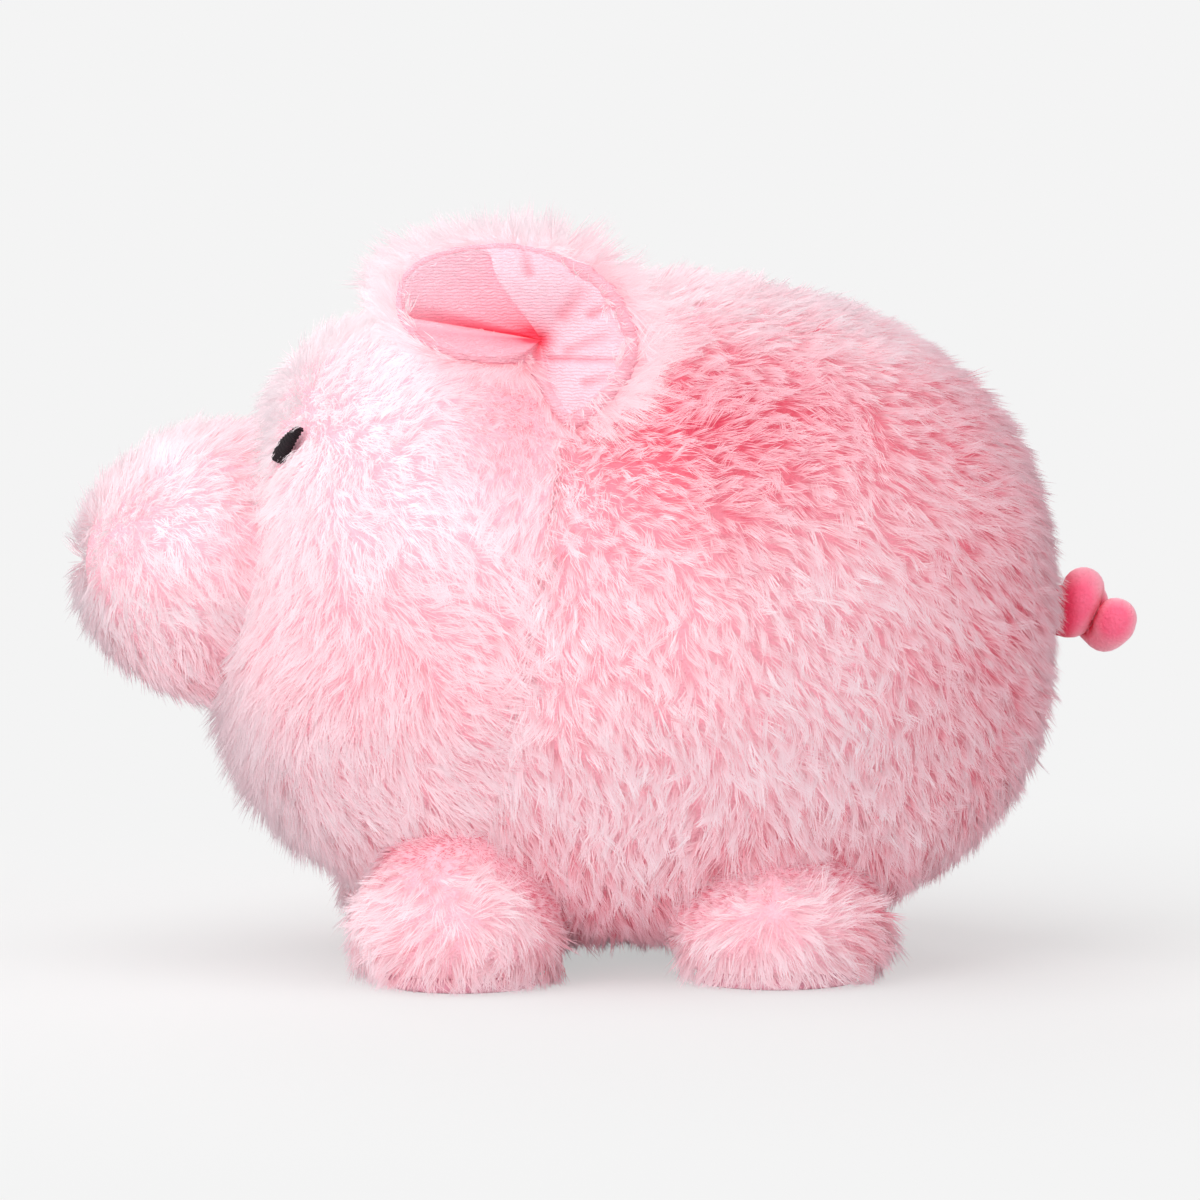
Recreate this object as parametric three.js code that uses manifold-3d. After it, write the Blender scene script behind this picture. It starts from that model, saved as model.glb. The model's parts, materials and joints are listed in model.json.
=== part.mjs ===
// A plush piggy bank: a stuffed long-pile pig sewn over a moulded coin box.
// Millimetres, +Z up, the pig faces -X, its left side is -Y, the soles stand on z = 0.
import * as THREE from 'three';
import { mergeVertices } from 'three/addons/utils/BufferGeometryUtils.js';
import Module from 'manifold-3d';

const wasm = await Module();
wasm.setup();

// Clearances
const FIT = 0.3; // between pieces that are sewn, seated or pressed together
const OVERCUT = 1; // how far a cut runs past a face

// Plush cloth, backing and pile together
const PILE = 7; // body, head and snout
const LEG_PILE = 6;
const EAR_PILE = 5;
const EAR_LINING = 1.8; // short-pile lining

// Trunk: head and torso swell from one girth
const GIRTH_X = 10; // where the body is widest
const FRONT_REACH = 105; // girth to the face
const REAR_REACH = 103; // girth to the rump
const BACK_RISE = 84;
const CROWN_RISE = 76; // top of the head above the girth line
const BELLY_DROP = 84;
const BELLY_LIFT = 4; // belly above the ground
const GIRTH_Z = BELLY_DROP + BELLY_LIFT;
const BODY_HALF_WIDTH = 82;
const HEAD_HALF_WIDTH = 72;
const HEAD_SETS_IN = 0.6; // share of the front reach over which body turns into head
const CROWN_SQUARENESS = 6.5;
const CHEST_SQUARENESS = 2;
const FACE_SQUARENESS = 3;
const RUMP_SQUARENESS = 2.25;
const SEAT_SQUARENESS = 2.55; // underside of the rump
const SECTION_SQUARENESS = 2.3;

// Neck seam between head and torso
const NECK_X = -21; // at the height of the girth
const NECK_LEAN = THREE.MathUtils.degToRad(10);
const NECK_DIP = 2.5; // the seam draws the skin in
const NECK_SOFTNESS = 9;
const NECK_LEAN_REACH = 34; // the body straightens up behind the neck over this length

// Snout
const SNOUT_ROOT_X = -92;
const SNOUT_RISE = 11; // centre of the snout above the girth line
const SNOUT_LENGTH = 40.5;
const SNOUT_HALF_HEIGHT = 36;
const SNOUT_HALF_WIDTH = 38;
const SNOUT_SQUARENESS = 2.05;
const SNOUT_SEAM_X = -115; // side band meets the front disc
const NOSTRIL_SPREAD = 10;
const NOSTRIL_HEIGHT = 2; // above the snout's centre
const NOSTRIL_HALF_WIDTH = 3.6;
const NOSTRIL_HALF_HEIGHT = 5.2;

// Embroidered eyes
const EYE_X = -80.5;
const EYE_RISE = 43;
const EYE_HALF_WIDTH = 4.2;
const EYE_HALF_HEIGHT = 5;
const STITCH_THICKNESS = 1.5;
const STITCH_DEPTH = 3.5; // how far the stitches pull the cloth in

// Legs
const LEG_WAIST_Z = 14; // height of a leg's widest ring
const LEG_UNDERCURVE = 24; // rounding of a leg towards its sole
const FRONT_LEG = { name: 'front', x: -37, y: 48, halfLength: 28.5, halfWidth: 25, rise: 30 };
const HIND_LEG = { name: 'hind', x: 39.5, y: 48, halfLength: 29.5, halfWidth: 25, rise: 25 };
const SOLE_THICKNESS = 4;
const SOLE_INSET = 2.5; // sleeve hem around the sole
const SLEEVE_LIFT = 0.5; // the hem stays off the ground

// Ears: seam on the head, rim as shares of the span [back, out, up] from the middle of the seam
const EAR_SPAN = 50;
const EAR_SEAM_FRONT = { x: -49, rise: 66 };
const EAR_SEAM_REAR = { x: -17, rise: 51 };
const EAR_RIM = [
  [-0.36, 0.28, 0.3], [-0.35, 0.2, 0.47], [-0.18, 0.18, 0.58], [0.14, 0.2, 0.62], [0.41, 0.24, 0.55],
  [0.61, 0.3, 0.41], [0.71, 0.36, 0.2], [0.68, 0.38, 0.04], [0.56, 0.36, -0.1], [0.42, 0.28, -0.19],
  [0.27, 0.18, 0.05], [0.15, 0.34, 0.1], [-0.08, 0.4, 0.12], [-0.26, 0.36, 0.19],
];
const EAR_POCKET = [0.28, 0.04, 0.2]; // deepest point of the cup
const EAR_SWING_IN = THREE.MathUtils.degToRad(-10);
const EAR_SWING_OUT = THREE.MathUtils.degToRad(25);

// Tail
const TAIL_RISE = -2;
const TAIL_RADIUS = 5.2;
const TAIL_CURL = 5.6; // radius of the curl's centre line
const TAIL_PITCH = 10.6;
const TAIL_TURNS = 1.2;
const TAIL_SETS_IN = 0.45; // share of the tail over which the curl opens
const TAIL_STANDOFF = 3.3; // centre of the root outside the skin
const TAIL_SWING = THREE.MathUtils.degToRad(20);

// Coin box, on the slot's upright axis
const BOX_X = 30;
const BOX_RADIUS = 30;
const BOX_WALL = 2;
const BOX_FOOT_RADIUS = 24;
const BOX_LIFT = 14; // base above the belly's outside
const BOX_PARTING = 60; // lid meets tub, above the base
const BOX_SHOULDER = 98;
const BOX_HEIGHT = 120;
const BOX_LIP = 5; // overlap of lid and tub
const BOX_TOP_RADIUS = 21;

// Coin slot
const SLOT_LENGTH = 34;
const SLOT_WIDTH = 6;
const SLOT_WALL = 1.6;
const SLOT_SKIRT = 9;
const NECK_WALL = 2;
const BEZEL_MARGIN = 5;
const BEZEL_THICKNESS = 2.4;
const BEZEL_SINK = 4; // top of the bezel below the tips of the pile

// Emptying port in the belly
const PORT_BORE = 15; // radius
const PORT_WALL = 2;
const PORT_FLANGE = 21.5; // radius
const PORT_FLANGE_THICKNESS = 2;
const PORT_SINK = 2.6; // flange above the belly's outside
const LOCK_RING_WIDTH = 3;
const LOCK_RING_HEIGHT = 3;
const PLUG_DEPTH = 9;
const PLUG_WALL = 3;
const PLUG_RIM = 17.6; // radius of the stopper's rim
const PLUG_RIM_THICKNESS = 2;
const TAB_LENGTH = 12;
const TAB_HEIGHT = 1.6;
const TAB_WIDTH = 4;

// Facets
const TRUNK_RINGS = 18;
const TRUNK_SIDES = 28;
const FILL_RINGS = 10;
const FILL_SIDES = 20;
const ROUND = 24; // sides of a moulded round piece
const ROUND_END_STEPS = 6; // facets of a round end
const STUFFED_SIDES = 18;
const STUFFED_STEPS = 6;
const EAR_SIDES = 22;
const EAR_STEPS = 3;
const TAIL_STEPS = 22;
const TAIL_END_STEPS = 3;
const TAIL_SIDES = 10;
const STITCH_SIDES = 14;
const BLOCK = 800; // larger than the whole toy

// Finishes
const plush = () => new THREE.MeshStandardMaterial({ color: 0xffc2cf, roughness: 0.95, metalness: 0 });
const velour = () => new THREE.MeshStandardMaterial({ color: 0xf2879f, roughness: 0.9, metalness: 0 });
const lining = () => new THREE.MeshStandardMaterial({ color: 0xffa9bb, roughness: 0.9, metalness: 0 });
const filling = () => new THREE.MeshStandardMaterial({ color: 0xf6f3ef, roughness: 1, metalness: 0 });
const thread = () => new THREE.MeshStandardMaterial({ color: 0x1a1819, roughness: 0.5, metalness: 0 });
const pinkThread = () => new THREE.MeshStandardMaterial({ color: 0xe0708c, roughness: 0.6, metalness: 0 });
const moulded = () => new THREE.MeshStandardMaterial({ color: 0xf4eef0, roughness: 0.4, metalness: 0 });
const trim = () => new THREE.MeshStandardMaterial({ color: 0xf2a3b5, roughness: 0.35, metalness: 0 });
const rubber = () => new THREE.MeshStandardMaterial({ color: 0xe98ba1, roughness: 0.6, metalness: 0 });

const group = new THREE.Group();

// A closed surface as a solid that can be joined and cut
function solidOf(surface) {
  const bare = surface.clone();
  bare.deleteAttribute('normal');
  bare.deleteAttribute('uv');
  const merged = mergeVertices(bare, 1e-4);
  const corners = merged.index.array;
  const kept = [];
  for (let i = 0; i < corners.length; i += 3) {
    const [a, b, c] = [corners[i], corners[i + 1], corners[i + 2]];
    if (a !== b && b !== c && c !== a) {
      kept.push(a, b, c);
    }
  }
  const mesh = new wasm.Mesh({
    numProp: 3,
    vertProperties: merged.attributes.position.array,
    triVerts: new Uint32Array(kept),
  });
  mesh.merge();
  return new wasm.Manifold(mesh);
}

// The surface of a solid
function surfaceOf(solid) {
  const mesh = solid.getMesh();
  const surface = new THREE.BufferGeometry();
  surface.setAttribute('position', new THREE.BufferAttribute(new Float32Array(mesh.vertProperties), 3));
  surface.setIndex(new THREE.BufferAttribute(new Uint32Array(mesh.triVerts), 1));
  surface.computeVertexNormals();
  return surface;
}

function addSurface(name, surface, material) {
  const piece = new THREE.Mesh(surface, material);
  piece.name = name;
  group.add(piece);
}

function addPiece(name, solid, material) {
  addSurface(name, surfaceOf(solid), material);
}

// The surface of the same solid on the pig's other side
function mirroredSurface(solid) {
  const surface = surfaceOf(solid);
  surface.scale(1, -1, 1);
  const corners = surface.index.array;
  for (let i = 0; i < corners.length; i += 3) {
    [corners[i], corners[i + 1]] = [corners[i + 1], corners[i]];
  }
  return surface;
}

// A piece on the pig's left side and its twin on the right, name holding SIDE
function addPair(name, solid, finish) {
  addPiece(name.replace('SIDE', 'left'), solid, finish());
  addSurface(name.replace('SIDE', 'right'), mirroredSurface(solid), finish());
}

// A solid through a row of rings, closed by a point at each end
function loft(start, rings, end) {
  const sides = rings[0].length;
  const points = [start, ...rings.flat(), end];
  const last = points.length - 1;
  const corners = [];
  for (let k = 0; k < sides; k += 1) {
    const next = (k + 1) % sides;
    corners.push(0, 1 + next, 1 + k);
    for (let r = 0; r + 1 < rings.length; r += 1) {
      const low = 1 + r * sides;
      const high = low + sides;
      corners.push(low + k, low + next, high + next);
      corners.push(low + k, high + next, high + k);
    }
    const top = 1 + (rings.length - 1) * sides;
    corners.push(last, top + k, top + next);
  }
  const surface = new THREE.BufferGeometry();
  surface.setAttribute('position', new THREE.Float32BufferAttribute(points.flatMap((p) => p.toArray()), 3));
  surface.setIndex(corners);
  return solidOf(surface);
}

// A solid turned about an upright axis through x, y
function turned(profile, sides, x = 0, y = 0) {
  const points = profile.map(([radius, height]) => new THREE.Vector2(radius, height));
  const surface = new THREE.LatheGeometry(points, sides);
  surface.rotateX(Math.PI / 2);
  surface.translate(x, y, 0);
  return solidOf(surface);
}

// An upright prism with round ends, long along X
function roundEnded(length, width, low, high, x) {
  const reach = (length - width) / 2;
  const outline = new THREE.Shape();
  outline.absarc(reach, 0, width / 2, -Math.PI / 2, Math.PI / 2);
  outline.absarc(-reach, 0, width / 2, Math.PI / 2, Math.PI * 1.5);
  outline.closePath();
  const settings = { depth: high - low, bevelEnabled: false, curveSegments: ROUND_END_STEPS };
  const surface = new THREE.ExtrudeGeometry(outline, settings);
  surface.translate(x, 0, low);
  return solidOf(surface);
}

// Everything on the side of a plane that its normal points to
function halfSpace(point, normal) {
  const block = new THREE.BoxGeometry(BLOCK, BLOCK, BLOCK);
  block.translate(0, 0, BLOCK / 2);
  block.applyQuaternion(new THREE.Quaternion().setFromUnitVectors(new THREE.Vector3(0, 0, 1), normal));
  block.translate(point.x, point.y, point.z);
  return solidOf(block);
}

const axisX = new THREE.Vector3(1, 0, 0);
const axisY = new THREE.Vector3(0, 1, 0);
const axisZ = new THREE.Vector3(0, 0, 1);

// Share of full size left at a share of the way to the end of a swelling form
function swell(share, squareness) {
  return Math.pow(Math.max(0, 1 - Math.pow(Math.min(share, 1), squareness)), 1 / squareness);
}

function bend(value, power) {
  return Math.sign(value) * Math.pow(Math.abs(value), power);
}

// Half sizes of the trunk's section at x, drawn in by inset
function trunkSection(x, inset) {
  const ahead = x < GIRTH_X;
  const reach = (ahead ? FRONT_REACH : REAR_REACH) - inset;
  const share = Math.abs(x - GIRTH_X) / reach;
  const head = ahead ? THREE.MathUtils.smoothstep(share, 0, HEAD_SETS_IN) : 0;
  const rise = THREE.MathUtils.lerp(BACK_RISE, CROWN_RISE, head) - inset;
  const width = THREE.MathUtils.lerp(BODY_HALF_WIDTH, HEAD_HALF_WIDTH, head) - inset;
  const drop = BELLY_DROP - inset;
  const dip = NECK_DIP * Math.exp(-Math.pow((x - NECK_X) / NECK_SOFTNESS, 2));
  return {
    top: rise * swell(share, ahead ? CROWN_SQUARENESS : RUMP_SQUARENESS) - dip,
    bottom: drop * swell(share, ahead ? CHEST_SQUARENESS : SEAT_SQUARENESS) - dip,
    width: width * swell(share, ahead ? FACE_SQUARENESS : RUMP_SQUARENESS) - dip,
  };
}

// Run of a section per unit of height: the head leans, the body straightens up behind the neck
function leanAt(x) {
  const behind = Math.max(0, x - NECK_X) / NECK_LEAN_REACH;
  return Math.tan(NECK_LEAN) * Math.exp(-behind * behind);
}

// Half width of the trunk at a place on its side
function trunkSide(x, z) {
  const rise = z - GIRTH_Z;
  const level = x - leanAt(x) * rise;
  const section = trunkSection(x - leanAt(level) * rise, 0);
  const half = rise > 0 ? section.top : section.bottom;
  return section.width * swell(Math.abs(rise) / half, SECTION_SQUARENESS);
}

function trunkRing(x, inset, sides) {
  const section = trunkSection(x, inset);
  const lean = leanAt(x);
  const ring = [];
  for (let k = 0; k < sides; k += 1) {
    const angle = (2 * Math.PI * k) / sides;
    const y = section.width * bend(Math.cos(angle), 2 / SECTION_SQUARENESS);
    const up = bend(Math.sin(angle), 2 / SECTION_SQUARENESS);
    const rise = up * (up > 0 ? section.top : section.bottom);
    ring.push(new THREE.Vector3(x + lean * rise, y, GIRTH_Z + rise));
  }
  return ring;
}

// Head and torso as one stuffed form
function trunk(inset, ringCount, sides) {
  const front = GIRTH_X - FRONT_REACH + inset;
  const rear = GIRTH_X + REAR_REACH - inset;
  const stations = [NECK_X - NECK_SOFTNESS, NECK_X, NECK_X + NECK_SOFTNESS];
  for (let i = 0; i < ringCount; i += 1) {
    const turn = Math.cos((Math.PI * (i + 0.5)) / ringCount);
    const x = turn > 0 ? GIRTH_X + (front - GIRTH_X) * turn : GIRTH_X + (GIRTH_X - rear) * turn;
    if (Math.abs(x - NECK_X) > 1.5 * NECK_SOFTNESS) {
      stations.push(x);
    }
  }
  stations.sort((a, b) => a - b);
  const rings = stations.map((x) => trunkRing(x, inset, sides));
  return loft(new THREE.Vector3(front, 0, GIRTH_Z), rings, new THREE.Vector3(rear, 0, GIRTH_Z));
}

const trunkOuter = trunk(0, TRUNK_RINGS, TRUNK_SIDES);
const trunkInner = trunk(PILE, FILL_RINGS, FILL_SIDES);
const trunkFill = trunk(PILE + FIT, FILL_RINGS, FILL_SIDES);
const trunkClear = trunk(-FIT, TRUNK_RINGS, TRUNK_SIDES);

// Neck seam plane
const neckPoint = new THREE.Vector3(NECK_X, 0, GIRTH_Z);
const neckNormal = new THREE.Vector3(Math.cos(NECK_LEAN), 0, -Math.sin(NECK_LEAN));
const behindNeck = halfSpace(neckPoint.clone().addScaledVector(neckNormal, FIT / 2), neckNormal);
const aheadOfNeck = halfSpace(
  neckPoint.clone().addScaledVector(neckNormal, -FIT / 2),
  neckNormal.clone().negate(),
);
const leftOfSeam = halfSpace(new THREE.Vector3(0, -FIT / 2, 0), axisY.clone().negate());

// Heights that hang on the belly
const boxBase = BELLY_LIFT + BOX_LIFT;
const boxParting = boxBase + BOX_PARTING;
const boxShoulder = boxBase + BOX_SHOULDER;
const boxTop = boxBase + BOX_HEIGHT;
const flangeFoot = BELLY_LIFT + PORT_SINK;

// Coin slot seat on the slope of the back
const backAt = (x) => GIRTH_Z + trunkSection(x, 0).top;
const bezelLength = SLOT_LENGTH + 2 * (SLOT_WALL + BEZEL_MARGIN);
const bezelWidth = SLOT_WIDTH + 2 * (SLOT_WALL + BEZEL_MARGIN);
const backRun = backAt(BOX_X + bezelLength / 2) - backAt(BOX_X - bezelLength / 2);
const backSlope = Math.atan2(backRun, bezelLength);
const bezelTop = backAt(BOX_X) - BEZEL_SINK;
const skirtLength = SLOT_LENGTH + 2 * SLOT_WALL;
const skirtWidth = SLOT_WIDTH + 2 * SLOT_WALL;
const chuteLength = skirtLength + 2 * FIT;
const chuteWidth = skirtWidth + 2 * FIT;
const neckLength = chuteLength + 2 * NECK_WALL;
const neckWidth = chuteWidth + 2 * NECK_WALL;
const neckTop = bezelTop - BEZEL_THICKNESS - 2 * FIT;

// A prism with round ends laid on the slope of the back, from low to high below the bezel's top
function backPlate(length, width, low, high) {
  const plate = surfaceOf(roundEnded(length, width, low, high, 0));
  plate.rotateY(-backSlope);
  plate.translate(BOX_X, 0, bezelTop);
  return solidOf(plate);
}

function makeSlotBezel() {
  const plate = backPlate(bezelLength, bezelWidth, -BEZEL_THICKNESS, 0);
  const skirtFoot = bezelTop - BEZEL_THICKNESS - SLOT_SKIRT;
  const skirt = roundEnded(skirtLength, skirtWidth, skirtFoot, bezelTop - BEZEL_THICKNESS / 2, BOX_X);
  const slot = roundEnded(SLOT_LENGTH, SLOT_WIDTH, skirtFoot - OVERCUT, bezelTop + BEZEL_SINK, BOX_X);
  addPiece('slot_bezel', plate.add(skirt).subtract(slot), trim());
}

// Outside of the coin box, grown by a clearance
const boxOutline = (grow) => [
  [0, boxBase - grow],
  [BOX_FOOT_RADIUS + grow, boxBase - grow],
  [BOX_RADIUS + grow, boxBase + BOX_RADIUS - BOX_FOOT_RADIUS],
  [BOX_RADIUS + grow, boxShoulder],
  [(BOX_RADIUS * 2 + BOX_TOP_RADIUS) / 3 + grow, (boxShoulder + boxTop * 2) / 3],
  [BOX_TOP_RADIUS + grow, boxTop + grow],
  [0, boxTop + grow],
];

const collarRadius = PORT_BORE + PORT_WALL;
const portHole = (radius, low, high) => turned(
  [[0, low], [radius, low], [radius, high], [0, high]],
  ROUND,
  BOX_X,
);

function makeCoinBox() {
  const outer = turned(boxOutline(0), ROUND, BOX_X);
  const inner = turned(boxOutline(-BOX_WALL), ROUND, BOX_X);
  const neck = roundEnded(neckLength, neckWidth, boxTop - BOX_WALL, neckTop, BOX_X);
  const bore = roundEnded(chuteLength, chuteWidth, boxShoulder, bezelTop, BOX_X);
  const underBezel = backPlate(bezelLength + BLOCK / 8, BLOCK / 8, -BEZEL_THICKNESS - FIT, BLOCK / 8);
  addPiece('coin_chute', neck.subtract(bore).subtract(underBezel), moulded());
  const neckRoom = roundEnded(neckLength + 2 * FIT, neckWidth + 2 * FIT, boxShoulder, bezelTop, BOX_X);
  const wall = outer.subtract(inner).subtract(neckRoom);
  const above = (z) => halfSpace(new THREE.Vector3(0, 0, z), axisZ);
  const below = (z) => halfSpace(new THREE.Vector3(0, 0, z), axisZ.clone().negate());
  const midRadius = BOX_RADIUS - BOX_WALL / 2;
  const socket = portHole(midRadius + FIT / 2, boxParting - OVERCUT, boxParting + BOX_LIP + FIT);
  const lid = wall.intersect(above(boxParting)).subtract(socket);
  const spigot = portHole(midRadius - FIT / 2, boxParting - BOX_LIP, boxParting + BOX_LIP);
  const lowHalf = wall.intersect(below(boxParting - FIT));
  const tub = lowHalf.add(wall.intersect(spigot));
  const port = portHole(collarRadius + FIT, boxBase - OVERCUT, boxBase + BOX_WALL + OVERCUT);
  addPiece('coin_box_lid', lid, moulded());
  addPiece('coin_box_tub', tub.subtract(port), moulded());
}

const lockRingZ = boxBase + BOX_WALL + FIT;
const collarTop = lockRingZ + LOCK_RING_HEIGHT;

function makePort() {
  const flangeTop = flangeFoot + PORT_FLANGE_THICKNESS;
  const collar = turned(
    [
      [PORT_BORE, flangeFoot],
      [PORT_FLANGE, flangeFoot],
      [PORT_FLANGE, flangeTop],
      [collarRadius, flangeTop],
      [collarRadius, collarTop],
      [PORT_BORE, collarTop],
      [PORT_BORE, flangeFoot],
    ],
    ROUND,
    BOX_X,
  );
  addPiece('port_collar', collar, trim());
  const ringBore = collarRadius + FIT;
  const ring = turned(
    [
      [ringBore, lockRingZ],
      [ringBore + LOCK_RING_WIDTH, lockRingZ],
      [ringBore + LOCK_RING_WIDTH, collarTop],
      [ringBore, collarTop],
      [ringBore, lockRingZ],
    ],
    ROUND,
    BOX_X,
  );
  addPiece('port_lock_ring', ring, moulded());
  const plugRadius = PORT_BORE - FIT;
  const rimTop = flangeFoot - FIT;
  const rimFoot = rimTop - PLUG_RIM_THICKNESS;
  const plugTop = rimTop + PLUG_DEPTH;
  const stopper = turned(
    [
      [0, rimFoot],
      [PLUG_RIM, rimFoot],
      [PLUG_RIM, rimTop],
      [plugRadius, rimTop],
      [plugRadius - FIT, plugTop],
      [plugRadius - PLUG_WALL, plugTop],
      [plugRadius - PLUG_WALL, rimTop],
      [0, rimTop],
    ],
    ROUND,
    BOX_X,
  );
  const tab = roundEnded(TAB_LENGTH, TAB_WIDTH, rimFoot - TAB_HEIGHT, rimTop - FIT, BOX_X);
  addPiece('port_stopper', stopper.add(tab), rubber());
}

// A place on the trunk's left side, and the way out of the skin there
function seatOnTrunk(x, z) {
  const reach = 1;
  const at = (px, pz) => new THREE.Vector3(px, -trunkSide(px, pz), pz);
  const alongX = at(x + reach, z).sub(at(x - reach, z));
  const alongZ = at(x, z + reach).sub(at(x, z - reach));
  return { place: at(x, z), out: alongX.cross(alongZ).normalize() };
}

// An oval pad of stitches, upright, from low to high along its seat's way out
function ovalPad(seat, halfWidth, halfHeight, low, high) {
  const pad = new THREE.CylinderGeometry(1, 1, high - low, STITCH_SIDES);
  pad.rotateX(Math.PI / 2);
  pad.translate(0, 0, (high + low) / 2);
  pad.scale(halfWidth, halfHeight, 1);
  const across = axisZ.clone().cross(seat.out).normalize();
  const up = seat.out.clone().cross(across);
  const turn = new THREE.Matrix4().makeBasis(across, up, seat.out);
  turn.setPosition(seat.place);
  pad.applyMatrix4(turn);
  return solidOf(pad);
}

const stitchTop = STITCH_THICKNESS - STITCH_DEPTH;
const stitchPocket = (seat, halfWidth, halfHeight) => ovalPad(
  seat,
  halfWidth + FIT,
  halfHeight + FIT,
  -STITCH_DEPTH - FIT,
  PILE * 2,
);

// Hinge line of the left ear, along its seam on the head
const earFront = seatOnTrunk(EAR_SEAM_FRONT.x, GIRTH_Z + EAR_SEAM_FRONT.rise).place;
const earRear = seatOnTrunk(EAR_SEAM_REAR.x, GIRTH_Z + EAR_SEAM_REAR.rise).place;
const earMiddle = earFront.clone().lerp(earRear, 0.5);
const earAxis = earRear.clone().sub(earFront).normalize();

function turnedAboutEarSeam(solid, angle) {
  const surface = surfaceOf(solid);
  surface.translate(-earMiddle.x, -earMiddle.y, -earMiddle.z);
  surface.applyQuaternion(new THREE.Quaternion().setFromAxisAngle(earAxis, angle));
  surface.translate(earMiddle.x, earMiddle.y, earMiddle.z);
  return solidOf(surface);
}

// One layer of an ear's cup, between two distances behind its lining
function earLayer(near, far) {
  const place = ([back, out, up]) => new THREE.Vector3(back, -out, up)
    .multiplyScalar(EAR_SPAN)
    .add(earMiddle);
  const curve = new THREE.CatmullRomCurve3(EAR_RIM.map(place), true);
  const rim = curve.getSpacedPoints(EAR_SIDES).slice(0, EAR_SIDES);
  const centre = rim.reduce((sum, p) => sum.add(p), new THREE.Vector3()).divideScalar(EAR_SIDES);
  const pocket = place(EAR_POCKET);
  const inward = pocket.clone().sub(centre);
  const depth = inward.length();
  inward.normalize();
  const ring = (turn, offset) => rim.map((p) => {
    const spoke = p.clone().sub(centre);
    const length = spoke.length();
    spoke.setLength((length + offset) * Math.cos(turn));
    return spoke.addScaledVector(inward, (depth + offset) * Math.sin(turn)).add(centre);
  });
  const turns = Array.from({ length: EAR_STEPS }, (_, i) => (Math.PI / 2) * (i / EAR_STEPS));
  const inside = turns.map((turn) => ring(turn, near)).reverse();
  const outside = turns.map((turn) => ring(turn, far));
  const nearPole = centre.clone().addScaledVector(inward, depth + near);
  const farPole = centre.clone().addScaledVector(inward, depth + far);
  return loft(nearPole, [...inside, ...outside], farPole);
}

// The room that the head takes up as the ear swings, seen from the ear
function earSweep() {
  const swungIn = turnedAboutEarSeam(trunkClear, -EAR_SWING_IN);
  const swungOut = turnedAboutEarSeam(trunkClear, -EAR_SWING_OUT);
  return swungIn.add(swungOut);
}

function makeEars() {
  const room = earSweep();
  const back = earLayer(EAR_LINING + FIT, EAR_LINING + FIT + EAR_PILE);
  addPair('SIDE_ear_back', back.subtract(room), plush);
  addPair('SIDE_ear_lining', earLayer(0, EAR_LINING).subtract(room), lining);
}

// Snout: a stuffed round stub along -X
const snoutZ = GIRTH_Z + SNOUT_RISE;

function snout(inset, sides, steps) {
  const rings = [];
  for (let i = 1; i <= steps; i += 1) {
    const share = Math.cos(((Math.PI / 2) * i) / (steps + 1));
    const x = SNOUT_ROOT_X - (SNOUT_LENGTH - inset) * share;
    const size = swell(share, SNOUT_SQUARENESS);
    rings.push(snoutRing(x, size, inset, sides));
  }
  const root = SNOUT_ROOT_X + FRONT_REACH / 4;
  rings.push(snoutRing(root, 1, inset, sides));
  const tip = new THREE.Vector3(SNOUT_ROOT_X - SNOUT_LENGTH + inset, 0, snoutZ);
  return loft(tip, rings, new THREE.Vector3(root + OVERCUT, 0, snoutZ));
}

function snoutRing(x, size, inset, sides) {
  const ring = [];
  for (let k = 0; k < sides; k += 1) {
    const angle = (2 * Math.PI * k) / sides;
    const y = (SNOUT_HALF_WIDTH - inset) * size * Math.cos(angle);
    const rise = (SNOUT_HALF_HEIGHT - inset) * size * Math.sin(angle);
    ring.push(new THREE.Vector3(x, y, snoutZ + rise));
  }
  return ring;
}

function nostrilSeat() {
  const spread = NOSTRIL_SPREAD / SNOUT_HALF_WIDTH;
  const lift = NOSTRIL_HEIGHT / SNOUT_HALF_HEIGHT;
  const share = swell(Math.hypot(spread, lift), SNOUT_SQUARENESS);
  const place = new THREE.Vector3(
    SNOUT_ROOT_X - SNOUT_LENGTH * share,
    -NOSTRIL_SPREAD,
    snoutZ + NOSTRIL_HEIGHT,
  );
  return { place, out: axisX.clone().negate() };
}

function makeSnout() {
  const outer = snout(0, TRUNK_SIDES, STUFFED_STEPS).subtract(trunkClear);
  const inner = snout(PILE, STUFFED_SIDES, STUFFED_STEPS);
  const skin = outer.subtract(inner);
  const ahead = halfSpace(new THREE.Vector3(SNOUT_SEAM_X - FIT / 2, 0, 0), axisX.clone().negate());
  const behind = halfSpace(new THREE.Vector3(SNOUT_SEAM_X + FIT / 2, 0, 0), axisX);
  const seat = nostrilSeat();
  const pocket = stitchPocket(seat, NOSTRIL_HALF_WIDTH, NOSTRIL_HALF_HEIGHT);
  const farPocket = solidOf(mirroredSurface(pocket));
  const nostril = ovalPad(seat, NOSTRIL_HALF_WIDTH, NOSTRIL_HALF_HEIGHT, -STITCH_DEPTH, stitchTop);
  addPair('SIDE_nostril', nostril, pinkThread);
  addPiece('snout_disc', skin.intersect(ahead).subtract(pocket).subtract(farPocket), plush());
  addPiece('snout_band', skin.intersect(behind), plush());
  const fill = snout(PILE + FIT, STUFFED_SIDES, STUFFED_STEPS).subtract(trunkClear);
  addPiece('snout_filling', fill, filling());
}

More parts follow.
